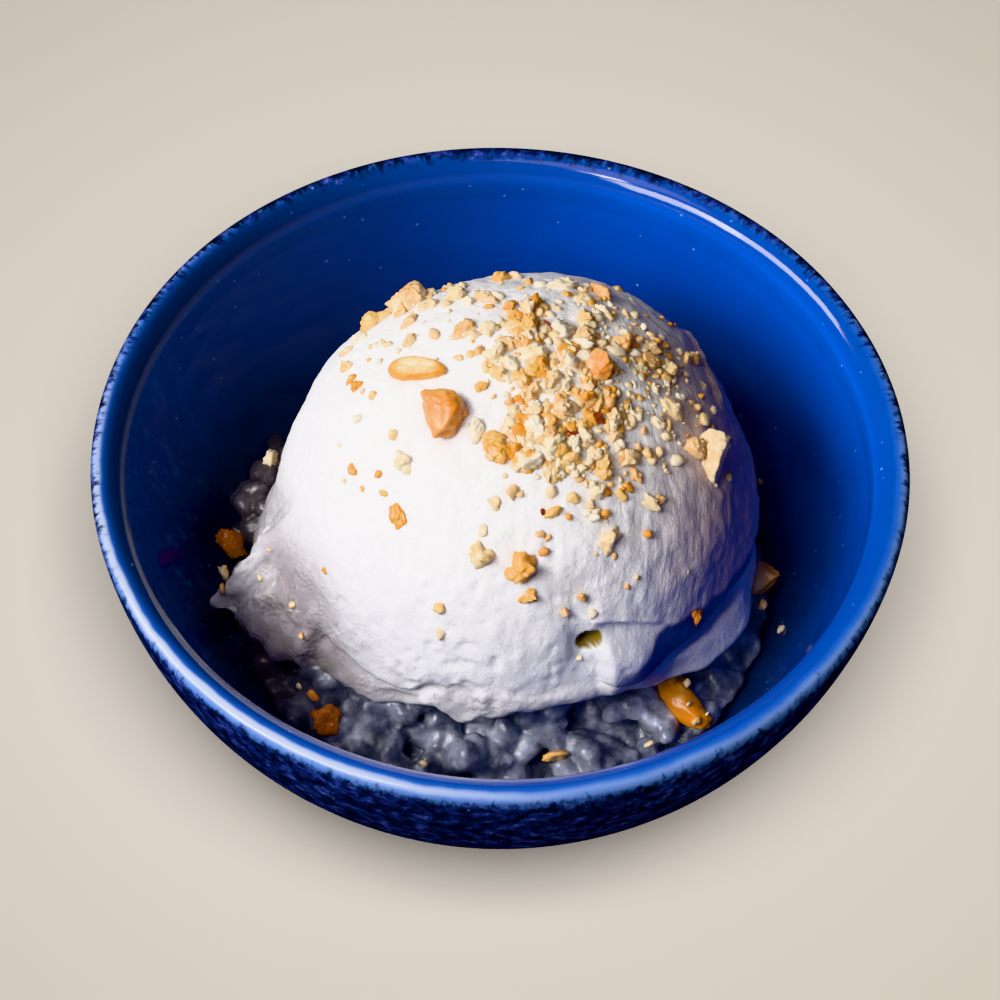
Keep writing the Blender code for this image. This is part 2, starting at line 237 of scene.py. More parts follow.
@dataclass
class Shell:
    """Closed surface: points in millimetres, and faces as triangles and quads."""

    points: Array
    triangles: Array
    quads: Array

    def volume(self) -> float:
        """Sum of the corners' triple products, over the triangles and the quads' halves.

        Returns:
            Six times the volume, above zero when the faces point outwards.
        """
        halves = self.quads[:, (0, 1, 2)], self.quads[:, (0, 2, 3)]
        corners = self.points[np.concatenate((self.triangles, *halves))]
        return float(np.einsum("ij,ij->", corners[:, 0], np.cross(corners[:, 1], corners[:, 2])))

    def copies(self, points: Array) -> Shell:
        """Many shells with this one's faces.

        Args:
            points: points of each copy, shape (n, len(self.points), 3).

        Returns:
            One shell of all the copies.
        """
        shift = len(self.points) * np.arange(len(points))[:, None, None]
        triangles = (self.triangles + shift).reshape(-1, 3)
        quads = (self.quads + shift).reshape(-1, 4)
        return Shell(points.reshape(-1, 3), triangles, quads)

    def make(self, name: str, material: Material, slot: str = "", node: str = "",
             values: dict[str, Array] | None = None) -> bpy.types.Object:
        """Object with this surface, its faces outwards, at the origin.

        Args:
            name: the object's name.
            material: its finish.
            slot: the record's slot that the finish comes from; not used.
            node: the solid that it stands for.
            values: a number for each point, by attribute name.

        Returns:
            The object, in the scene and riding on the body.
        """
        turn = -1 if self.volume() < 0.0 else 1
        faces = self.triangles[:, ::turn].tolist() + self.quads[:, ::turn].tolist()
        mesh = bpy.data.meshes.new(name)
        mesh.from_pydata(self.points * MM, [], faces)
        for label, numbers in (values or {}).items():
            layer = mesh.attributes.new(label, "FLOAT", "POINT")
            layer.data.foreach_set("value", np.asarray(numbers, np.float32).ravel())
        mesh.materials.append(material)
        mesh.shade_smooth()
        mesh.validate()
        piece = bpy.data.objects.new(name, mesh)
        bpy.context.scene.collection.objects.link(piece)
        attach(piece, BODY)
        if node:
            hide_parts(node)
        return piece


def close_grid(grid: Array) -> Shell:
    """Closed surface from a grid whose rows wrap round and whose end rows are poles.

    Args:
        grid: points by row and column, shape (rows, columns, 3).

    Returns:
        Shell whose first and last points are the poles.
    """
    rows, columns = grid.shape[0] - 2, grid.shape[1]
    points = np.concatenate((grid[:1, 0], grid[1:-1].reshape(-1, 3), grid[-1:, 0]))
    column = np.arange(columns)
    after = (column + 1) % columns
    start = 1 + columns * np.arange(rows - 1)[:, None]
    quads = np.stack((start + column, start + after,
                      start + columns + after, start + columns + column), axis=-1)
    last = 1 + columns * (rows - 1)
    top = np.stack((np.zeros_like(column), 1 + after, 1 + column), axis=-1)
    end = np.stack((np.full_like(column, len(points) - 1), last + column, last + after), axis=-1)
    return Shell(points, np.concatenate((top, end)), quads.reshape(-1, 4))


def grid_values(values: Array) -> Array:
    """Values of a grid in the order of close_grid's points."""
    return np.concatenate((values[:1, 0], values[1:-1].ravel(), values[-1:, 0]))


def turned(radius: Array, height: Array, turn: Array) -> Array:
    """Points by radius and height, turned round Z by angles in radians."""
    return np.stack((radius * np.cos(turn), radius * np.sin(turn), height + 0.0 * turn), axis=-1)


def round_turn(count: int) -> Array:
    """Angles once round in radians, as one row."""
    return np.linspace(0.0, 2.0 * np.pi, count, endpoint=False)[None, :]


def ball(rings: int, columns: int) -> Shell:
    """Ball 1 across: points by tilt and azimuth.

    Args:
        rings: steps from pole to pole.
        columns: steps once round.

    Returns:
        Its shell, about the origin.
    """
    tilt = np.linspace(0.0, 180.0, rings + 1)[:, None]
    azimuth = (np.arange(columns) * 360.0 / columns)[None, :]
    return close_grid(0.5 * unit(azimuth + 0.0 * tilt, tilt + 0.0 * azimuth))


def grid_normals(grid: Array) -> Array:
    """Unit normals of a wrapped grid, from the differences along rows and columns.

    Args:
        grid: points by row and column, shape (rows, columns, 3).

    Returns:
        Normals, of the same shape.
    """
    across = np.roll(grid, -1, axis=1) - np.roll(grid, 1, axis=1)
    normals = np.cross(np.gradient(grid, axis=0), across)
    return normals / np.maximum(np.linalg.norm(normals, axis=-1, keepdims=True), 1e-9)


# ---------------------------------------------------------------- finishes

def linear(code: str) -> Colour:
    """Linear colour of an sRGB hex code such as "#1c4fb0", by the sRGB curve.

    Args:
        code: the hex code.

    Returns:
        Red, green, blue and 1 for alpha.
    """
    shares = [int(code[k:k + 2], 16) / 255.0 for k in (1, 3, 5)]
    red, green, blue = (s / 12.92 if s <= 0.04045 else ((s + 0.055) / 1.055) ** 2.4
                        for s in shares)
    return red, green, blue, 1.0


def add_node(tree: bpy.types.NodeTree, kind: str, inputs: dict | tuple = (),
             stops: Stops = (), **fields: str) -> bpy.types.Node:
    """Node with its settings, its ramp's stops, and its links or values.

    Args:
        tree: node tree that gets the node.
        kind: type of the node, without the prefix that all of them share.
        inputs: sockets, values or hex colours, in order or by name or number.
        stops: place and hex colour of each stop of a ramp, in rising order.
        fields: the node's own settings.

    Returns:
        The new node.
    """
    made = tree.nodes.new("ShaderNode" + kind)
    for name, value in fields.items():
        setattr(made, name, value)
    for number, (place, code) in enumerate(stops):
        elements = made.color_ramp.elements
        element = elements[number] if number < 2 else elements.new(place)
        element.position, element.color = place, linear(code)
    for key, value in inputs.items() if isinstance(inputs, dict) else enumerate(inputs):
        if isinstance(value, Socket):
            tree.links.new(value, made.inputs[key])
        else:
            made.inputs[key].default_value = linear(value) if isinstance(value, str) else value
    return made


class Surface:
    """A material in the making; `place` is its Object coordinates in millimetres."""

    def __init__(self, name: str) -> None:
        """New material with only the coordinates in its tree.

        Args:
            name: the material's name.
        """
        self.material = bpy.data.materials.new(name)
        self.material.use_nodes = True
        self.material.node_tree.nodes.clear()
        place = self.add("TexCoord", out="Object")
        self.place = self.add("Mapping", {"Vector": place, "Scale": (1.0 / MM,) * 3})

    def add(self, kind: str, inputs: dict | tuple = (), out: int | str = 0,
            stops: Stops = (), **fields: str) -> Socket:
        """Output of a new node of this material; its `node` has the other outputs."""
        return add_node(self.material.node_tree, kind, inputs, stops, **fields).outputs[out]

    def towards(self, azimuth: float) -> Socket:
        """Distance from the axis towards one side, by a dot product."""
        return self.add("VectorMath", (self.place, unit(azimuth, 90.0)), "Value",
                        operation="DOT_PRODUCT")

    def finish(self, inputs: dict) -> Material:
        """Close the tree with a Principled shader.

        Args:
            inputs: the shader's sockets, values or hex colours, by name.

        Returns:
            The material.
        """
        shader = self.add("BsdfPrincipled", inputs)
        add_node(self.material.node_tree, "OutputMaterial", {"Surface": shader})
        return self.material


@dataclass(frozen=True)
class CobaltGlaze:
    """Cobalt glaze fired on stoneware, dipped twice and broken at the lip.

    It pools deep blue inside, runs thin over the lip, frays into teeth on the outer edge
    and ends in an iron-dark mottled outside. Painted shade darkens the inner left wall and
    the lip's slope there. Reads "lip", millimetres along the profile from the crest, inside
    below zero. Each painted line of the lip, a painted reflection on the inner edge and a
    painted highlight on the crest, has its place from the crest, colour, azimuth and width.
    """

    wall: Stops = ((0.0, "#051a34"), (0.3, "#02245c"), (0.6, "#003a9a"), (0.85, "#0048b6"),
                   (1.0, "#0658cc"))
    # painted shade: dark colour laid on the inner left wall and on the lip's slope there
    left_shade: str = "#020e26"
    left_shade_towards: float = 152.0
    # painted reflection: colour of the pale streaks on the inner left wall
    milk: str = "#6c8cc4"
    reflection_towards: float = 198.0
    # pinprick specks, partly painted glints
    bubble: str = "#8fb6e8"
    bands: Stops = ((0.0, "#0048b4"), (0.33, "#0449ac"), (0.42, "#0c4cae"), (0.49, "#3c6cc8"),
                    (0.56, "#7c9ede"), (0.68, "#5a80cc"), (1.0, "#4a70c0"))
    # painted reflection line on the lip's inner edge, then painted highlight line on the crest
    painted_reflection_line: tuple = (0.0, "#c0bce2", 244.0, 1.7)
    painted_highlight_line: tuple = (-1.1, "#ccd8f0", 222.0, 0.9)
    dark: Stops = ((0.0, "#070b1c"), (0.36, "#111a40"), (0.52, "#263478"), (0.68, "#4858a8"),
                   (1.0, "#7c98d8"))
    band_reach: float = 6.0
    tooth_width: float = 0.95
    tooth_depth: float = 6.5
    tooth_lean: float = 1.7
    tooth_soft: float = 1.7
    mottle: float = 2.2
    reflection_stretch: Triple = (0.45, 0.45, 0.05)
    speck_gap: float = 2.6
    speck_size: float = 0.3
    speck_rare: float = 0.6

    def bands_of_lip(self, surface: Surface, lip: Socket) -> Socket:
        """Colours across the lip, with a painted reflection line on its inner edge and a painted
        highlight line on the crest.

        Args:
            surface: the glaze in the making.
            lip: distance along the profile.

        Returns:
            Socket with the colour.
        """
        add, place = surface.add, surface.place
        waver = add("TexNoise", {"Vector": place, "Scale": 1.0 / 6.0, "Detail": 2.0})
        band = add("Math", (waver, 1.0, lip), operation="MULTIPLY_ADD")
        across = add("MapRange", (band, 0.5 - self.band_reach, 0.5 + self.band_reach))
        colour = add("ValToRGB", (across,), stops=self.bands)
        inner = add("MapRange", (add("SeparateXYZ", (place,)), -5.0, -55.0, 2.7, 4.7))
        inner = add("Math", (band, inner), operation="ADD")
        # painted reflection on the inner edge, then painted highlight on the crest
        for start, (shift, tint, azimuth, wide) in ((inner, self.painted_reflection_line),
                                                    (band, self.painted_highlight_line)):
            away = add("Math", (start, shift), operation="ADD")
            away = add("Math", (away,), operation="ABSOLUTE")
            line = add("MapRange", (away, wide, 0.2), **SMOOTH)
            front = add("MapRange", (surface.towards(azimuth), 0.5 * RIM, 0.97 * RIM, 0.0, 0.9))
            share = add("Math", (line, front), operation="MULTIPLY")
            colour = add("Mix", {0: share, 6: colour, 7: tint}, 2, **RGBA)
        return colour

    def past_teeth(self, surface: Surface, lip: Socket, lean: Socket) -> Socket:
        """Share of the dark outside: frayed teeth drawn out along the profile.

        The noise is read on a circle round Z, so that it has no seam.

        Args:
            surface: the glaze in the making.
            lip: distance along the profile.
            lean: 1 at the front of the bowl, -1 at its back.

        Returns:
            Socket that is 0 on the lip and 1 on the outside.
        """
        add = surface.add
        flat = add("VectorMath", (surface.place, (1.0, 1.0, 0.0)), operation="MULTIPLY")
        circle = add("VectorMath", (flat,), operation="NORMALIZE")
        circle = add("VectorMath", {0: circle, "Scale": RIM}, operation="SCALE")
        drawn = add("CombineXYZ", {2: add("Math", (lip, 0.5), operation="MULTIPLY")})
        teeth = add("TexNoise", {
            "Vector": add("VectorMath", (circle, drawn), operation="ADD"),
            "Scale": 1.0 / self.tooth_width, "Detail": 4.0, "Roughness": 0.66})
        edge = add("Math", (lean, -self.tooth_lean, lip), operation="MULTIPLY_ADD")
        edge = add("Math", (teeth, self.tooth_depth, edge), operation="MULTIPLY_ADD")
        start = 0.5 * self.tooth_depth
        return add("MapRange", (edge, start, start + self.tooth_soft), **SMOOTH)

    def specks_and_glints(self, surface: Surface) -> Socket:
        """Pinprick dots, partly painted glints: one small dot in a few of the cells of a random
        lattice.

        Args:
            surface: the glaze in the making.

        Returns:
            Socket that is near 1 on a dot.
        """
        add, size = surface.add, self.speck_size / self.speck_gap
        cells = add("TexVoronoi", {"Vector": surface.place, "Scale": 1.0 / self.speck_gap})
        dot = add("MapRange", (cells, size, 0.4 * size, 0.0, 0.6))
        chosen = add("SeparateColor", (cells.node.outputs["Color"],))
        chosen = add("Math", (chosen, self.speck_rare), operation="GREATER_THAN")
        return add("Math", (dot, chosen), operation="MULTIPLY")

    def painted_reflection_runs(self, surface: Surface, lip: Socket) -> Socket:
        """Painted reflection: pale runs down the inside on the left, noise drawn out upwards.

        Args:
            surface: the glaze in the making.
            lip: distance along the profile.

        Returns:
            Socket that is above 0 on a run.
        """
        add = surface.add
        drawn = add("VectorMath", (surface.place, self.reflection_stretch), operation="MULTIPLY")
        run = add("TexNoise", {"Vector": drawn, "Scale": 1.0, "Detail": 4.0, "Roughness": 0.6})
        run = add("MapRange", (run, 0.56, 0.72, 0.0, 0.45))
        facing = add("MapRange", (surface.towards(self.reflection_towards), 34.0, 50.0), **SMOOTH)
        inside = add("MapRange", (lip, -4.0, -7.0))
        facing = add("Math", (facing, inside), operation="MULTIPLY")
        return add("Math", (run, facing), operation="MULTIPLY")

    def painted_left_shade(self, surface: Surface, lip: Socket, left: Socket) -> tuple[Socket, Socket]:
        """Painted shade: dark glaze colour on the inner left wall and on the lip's slope there.

        Args:
            surface: the glaze in the making.
            lip: distance along the profile.
            left: the X coordinate.

        Returns:
            Sockets with the two shares.
        """
        add = surface.add
        side = surface.towards(self.left_shade_towards)
        side = add("MapRange", (side, 5.0, 55.0, 0.0, 0.55), **SMOOTH)
        inside = add("MapRange", (lip, 0.4, -0.6))
        slope = add("Math", (add("Math", (lip, 2.6), operation="ADD"),), operation="ABSOLUTE")
        slope = add("MapRange", (slope, 2.4, 0.9), **SMOOTH)
        run = add("MapRange", (left, -12.0, -46.0, 0.0, 0.6), **SMOOTH)
        return (add("Math", (side, inside), operation="MULTIPLY"),
                add("Math", (slope, run), operation="MULTIPLY"))

    def relief(self, surface: Surface, lip: Socket) -> Socket:
        """Bump: the outside is gritty; the inside only swims a little, as heavy glaze does.

        Args:
            surface: the glaze in the making.
            lip: distance along the profile.

        Returns:
            Socket with the normal.
        """
        add = surface.add
        gritty = add("MapRange", (lip, 1.0, 4.0))
        swim, grit = (add("TexNoise", {"Vector": surface.place, "Scale": 1.0 / gap,
                                       "Detail": detail})
                      for gap, detail in ((5.0, 1.0), (0.9, 2.0)))
        grit = add("Math", (grit, gritty), operation="MULTIPLY")
        height = add("Math", (grit, 0.5, swim), operation="MULTIPLY_ADD")
        return add("Bump", {"Height": height, "Strength": 0.3, "Distance": 0.2 * MM})

    def make(self) -> Material:
        """Nodes of the glaze: the wall's depth of colour, then each layer over it.

        Returns:
            The material.
        """
        surface = Surface("cobalt_glaze_fired")
        add, place = surface.add, surface.place
        lip = add("Attribute", out="Fac", attribute_name="lip")
        parts = add("SeparateXYZ", (place,)).node.outputs
        lean = add("Math", (parts["Y"], -1.0 / RIM), operation="MULTIPLY")
        pool = add("TexNoise", {"Vector": place, "Scale": 1.0 / 20.0, "Detail": 4.0})
        height = add("MapRange", (parts["Z"], 8.0, 43.0, -0.15, 0.85))
        depth = add("Math", (pool, 0.3, height), operation="MULTIPLY_ADD")
        outside = self.past_teeth(surface, lip, lean)
        cloud = add("TexNoise", {"Vector": place, "Scale": 1.0 / self.mottle, "Detail": 4.0,
                                 "Roughness": 0.72})
        dark = add("ValToRGB", (add("MapRange", (cloud, 0.3, 0.78)),), stops=self.dark)
        # painted shade: the inner left wall and the lip's slope on the left are darkened in
        # colour
        side, slope = self.painted_left_shade(surface, lip, parts["X"])
        colour = add("ValToRGB", (depth,), stops=self.wall)
        for share, tint in ((add("MapRange", (lip, -4.8, -3.2)), self.bands_of_lip(surface, lip)),
                            (side, self.left_shade), (slope, self.left_shade),
                            (self.painted_reflection_runs(surface, lip), self.milk), (outside, dark),
                            (self.specks_and_glints(surface), self.bubble)):
            colour = add("Mix", {0: share, 6: colour, 7: tint}, 2, **RGBA)
        rough = add("MapRange", {0: outside, 3: 0.12, 4: 0.34})
        return surface.finish({
            "Base Color": colour, "Roughness": rough, "Normal": self.relief(surface, lip),
            "IOR": 1.5, "Coat Weight": 0.2, "Coat Roughness": 0.04})


@dataclass(frozen=True)
class IceCreamFinish:
    """Coconut ice cream: churned, pressed from a scoop and starting to melt.

    Light sinks in and comes out soft. The surface has a fine icy grain, threads drawn
    by the scoop, and a wet skirt. Its ice crystals, a few hundredths of a millimetre, are
    drawn as coarse as they need to show. A warm tint on the upper right is painted shade, and
    a dark blue band under the ball's right is painted shade and painted reflection of the
    blue bowl. Reads "melt", from 0 on the firm ball to 1 where wet; "film", 1 in that
    painted blue band; "hollow", 1 in the air pocket, whose oily colour is darkened as painted
    shade; "comb", millimetres across the threads; "drawn", their strength.
    """

    firm: str = "#f6f5f8"
    wet: str = "#a89fa4"
    watery: str = "#96908e"
    # painted shade: warm tint that offsets the blue light on the ball's shaded upper right
    warm: str = "#dcbeb6"
    # painted shade and painted reflection of the blue bowl, on the band under the ball's right
    thin: str = "#3c4c84"
    # oily colour in the air pocket, darkened as painted shade
    oil_and_shade: str = "#8a7428"
    pool: float = 3.4
    patch: float = 1.6
    froth: float = 3.6
    grain: float = 0.5
    crystal: float = 1.3
    bubble: float = 0.7
    thread_gap: float = 0.85
    thread_length: float = 3.2
    shade_warming_right: Pair = (17.0, 35.0)
    shade_warming_above: Pair = (28.5, 33.0)

    def threads(self, surface: Surface, comb: Socket, drawn: Socket) -> Socket:
        """Relief of the threads: noise that is fine across them and long along them.

        Args:
            surface: the ice cream in the making.
            comb: distance across the threads.
            drawn: their strength.

        Returns:
            Socket with the height.
        """
        add = surface.add
        across = add("Math", (comb, 1.0 / self.thread_gap), operation="MULTIPLY")
        along = add("VectorMath", {0: surface.place, "Scale": 1.0 / self.thread_length},
                    operation="SCALE")
        way = add("VectorMath", (add("CombineXYZ", (across,)), along), operation="ADD")
        thread = add("TexNoise", {"Vector": way, "Scale": 1.0, "Detail": 3.0, "Roughness": 0.6})
        return add("Math", (thread, drawn), operation="MULTIPLY")

    def make(self) -> Material:
        """Nodes of the ice cream: its tints, among them painted shade, then how wet it is, then
        its grain.

        Returns:
            The material.
        """
        surface = Surface("ice_cream_churned")
        add, place = surface.add, surface.place
        melt, film, hollow, comb, drawn = (
            add("Attribute", out="Fac", attribute_name=name)
            for name in ("melt", "film", "hollow", "comb", "drawn"))
        pools, patches, frothy, grain = (
            add("TexNoise", {"Vector": place, "Scale": 1.0 / gap, "Detail": detail,
                             "Roughness": rough})
            for gap, detail, rough in ((self.pool, 3.0, 0.5), (self.patch, 2.0, 0.5),
                                       (self.froth, 2.0, 0.5), (self.grain, 3.0, 0.6)))
        parts = add("SeparateXYZ", (place,)).node.outputs
        # painted shade: a warm tint on the ball's upper right, where it lies in shade
        shade_warming = add("MapRange", (parts["X"], *self.shade_warming_right), **SMOOTH)
        high = add("MapRange", (parts["Z"], *self.shade_warming_above))
        shade_warming = add("Math", (shade_warming, high), operation="MULTIPLY")
        pools = add("MapRange", (pools, 0.45, 0.66))
        wet = add("Mix", {0: pools, 6: self.wet, 7: self.watery}, 2, **RGBA)
        colour = self.firm
        for share, tint in ((shade_warming, self.warm), (melt, wet), (film, self.thin),
                            (hollow, self.oil_and_shade)):
            colour = add("Mix", {0: share, 6: colour, 7: tint}, 2, **RGBA)
        dull = add("MapRange", {0: melt, 3: 0.34, 4: 0.04})
        rough = add("Math", (patches, 0.25, dull), operation="MULTIPLY_ADD")
        crystals = add("TexNoise", {"Vector": place, "Scale": 1.0 / self.crystal,
                                    "Detail": 1.0}, noise_type="RIDGED_MULTIFRACTAL")
        foam = add("TexVoronoi", {"Vector": place, "Scale": 1.0 / self.bubble})
        frothy = add("MapRange", (frothy, 0.46, 0.58))
        frothy = add("Math", (frothy, melt), operation="MULTIPLY")
        foam = add("Math", (foam, frothy), operation="MULTIPLY")
        relief = grain
        for layer, strength in ((foam, 1.6), (crystals, 0.2),
                                (self.threads(surface, comb, drawn), 1.6)):
            relief = add("Math", (layer, strength, relief), operation="MULTIPLY_ADD")
        bump = add("Bump", {"Height": relief, "Strength": 0.8, "Distance": 0.2 * MM})
        return surface.finish({
            "Base Color": colour, "Roughness": rough, "Normal": bump, "IOR": 1.34,
            "Coat Weight": add("Math", (melt, 0.7), operation="MULTIPLY"),
            "Coat Roughness": 0.08, "Coat Normal": bump, "Subsurface Weight": 0.8,
            "Subsurface Radius": (1.0, 0.95, 1.0), "Subsurface Scale": 0.8 * MM})


@dataclass(frozen=True)
class StickyRiceFinish:
    """Glutinous rice steamed in coconut milk: swollen, translucent and wet.

    Grey-lilac grains let light through and carry a broken, glittering wet film, whose
    ripples are drawn coarser than they are, so that they show.
    """

    tones: Stops = ((0.0, "#4c5058"), (0.45, "#828695"), (0.8, "#b4b8c8"), (1.0, "#dce0ee"))
    # a brown stain, partly painted shade, on the rice at the left
    stain_and_shade: str = "#544c4a"
    stain_and_shade_towards: float = 165.0
    grain: float = 4.5
    film: float = 0.55

    def make(self) -> Material:
        """Nodes of the rice: clouded tones, a brown stain partly of painted shade on the left,
        under a wet film.

        Returns:
            The material.
        """
        surface = Surface("sticky_rice_steamed")
        add, place = surface.add, surface.place
        cloud, film = (
            add("TexNoise", {"Vector": place, "Scale": 1.0 / gap, "Detail": 3.0,
                             "Roughness": rough})
            for gap, rough in ((self.grain, 0.6), (self.film, 0.65)))
        tones = add("ValToRGB", (add("MapRange", (cloud, 0.28, 0.72)),), stops=self.tones)
        # partly painted shade: the rice on the left is darkened towards brown
        left = add("MapRange", (surface.towards(self.stain_and_shade_towards), 15.0, 27.0, 0.0, 0.85),
                   **SMOOTH)
        colour = add("Mix", {0: left, 6: tones, 7: self.stain_and_shade}, 2, **RGBA)
        bump = add("Bump", {"Height": film, "Strength": 1.0, "Distance": 0.13 * MM})
        return surface.finish({
            "Base Color": colour, "Roughness": 0.12, "Normal": bump, "IOR": 1.42,
            "Subsurface Weight": 0.8, "Subsurface Radius": (1.0, 0.95, 1.0),
            "Subsurface Scale": 1.8 * MM, "Coat Weight": 0.8, "Coat Roughness": 0.07,
            "Coat Normal": bump})


class Roast(Enum):
    """How far a piece of peanut is roasted, with the tones it shows."""

    PALE = ((0.0, "#f0a648"), (0.35, "#fbd09a"), (0.7, "#fee4be"), (1.0, "#fff0da"))
    GOLDEN = ((0.0, "#e08c20"), (0.35, "#f5b55a"), (0.7, "#fbd391"), (1.0, "#feeac8"))
    ROASTED = ((0.0, "#c46e1e"), (0.35, "#ec9a42"), (0.7, "#f7b670"), (1.0, "#fcd8aa"))
    SKIN = ((0.0, "#2e0804"), (0.4, "#5c160a"), (0.75, "#8a2c12"), (1.0, "#b35a2e"))

    @property
    def title(self) -> str:
        """Name of the roast as used in piece and material names."""
        return self.name.lower()

    @property
    def slot(self) -> str:
        """The record's slot: scraps of skin are part of the roasted lot."""
        return "peanut_" + (Roast.ROASTED if self is Roast.SKIN else self).title


Materials = dict[Roast, Material]


@dataclass(frozen=True)
class PeanutFinish:
    """Roasted peanut, chopped: an oily, slightly glossy broken kernel.

    Tone changes from piece to piece and in patches where the roast caught an edge. The
    kernel's grit, about a tenth of a millimetre, is drawn coarser so that it shows.
    Reads "shade", about 0 where golden to 1 where pale.
    """

    roast: Roast
    patch: float = 1.1
    grit: float = 0.35

    def make(self) -> Material:
        """Nodes of the peanut: tones by shade and patch, and a gritty break.

        Returns:
            The material.
        """
        surface = Surface(f"peanut_{self.roast.title}_chopped")
        add = surface.add
        shade = add("Attribute", out="Fac", attribute_name="shade")
        patch, grit = (
            add("TexNoise", {"Vector": surface.place, "Scale": 1.0 / gap, "Detail": detail,
                             "Roughness": rough})
            for gap, detail, rough in ((self.patch, 4.0, 0.6), (self.grit, 3.0, 0.5)))
        tone = add("Math", (patch, shade), operation="ADD")
        tone = add("MapRange", (tone, 0.35, 1.6))
        bump = add("Bump", {"Height": grit, "Strength": 0.5, "Distance": 0.1 * MM})
        return surface.finish({
            "Base Color": add("ValToRGB", (tone,), stops=self.roast.value), "Roughness": 0.3,
            "Normal": bump, "IOR": 1.47, "Subsurface Weight": 0.6,
            "Subsurface Radius": (1.0, 0.94, 0.78), "Subsurface Scale": 0.35 * MM,
            "Coat Weight": 0.35, "Coat Roughness": 0.12, "Coat Normal": bump})


@dataclass(frozen=True)
class TableFinish:
    """Matt painted board, warm and pale, with painted light falloff: a shade deeper away from the
    middle.
    """

    light: str = "#e2dace"
    deep: str = "#ccc3b6"
    middle: Triple = (0.0, 34.0, 0.0)
    painted_falloff: Pair = (65.0, 155.0)

    def make(self) -> Material:
        """Nodes of the board: two tones by the distance from its middle, a painted light falloff.

        Returns:
            The material.
        """
        surface = Surface("board_painted_matt")
        away = surface.add("VectorMath", (surface.place, self.middle), "Value",
                           operation="DISTANCE")
        # painted light falloff: deeper tone away from the middle
        share = surface.add("MapRange", (away, *self.painted_falloff))
        colour = surface.add("Mix", {0: share, 6: self.light, 7: self.deep}, 2, **RGBA)
        return surface.finish({"Base Color": colour, "Roughness": 0.9})


# ---------------------------------------------------------------- bowl

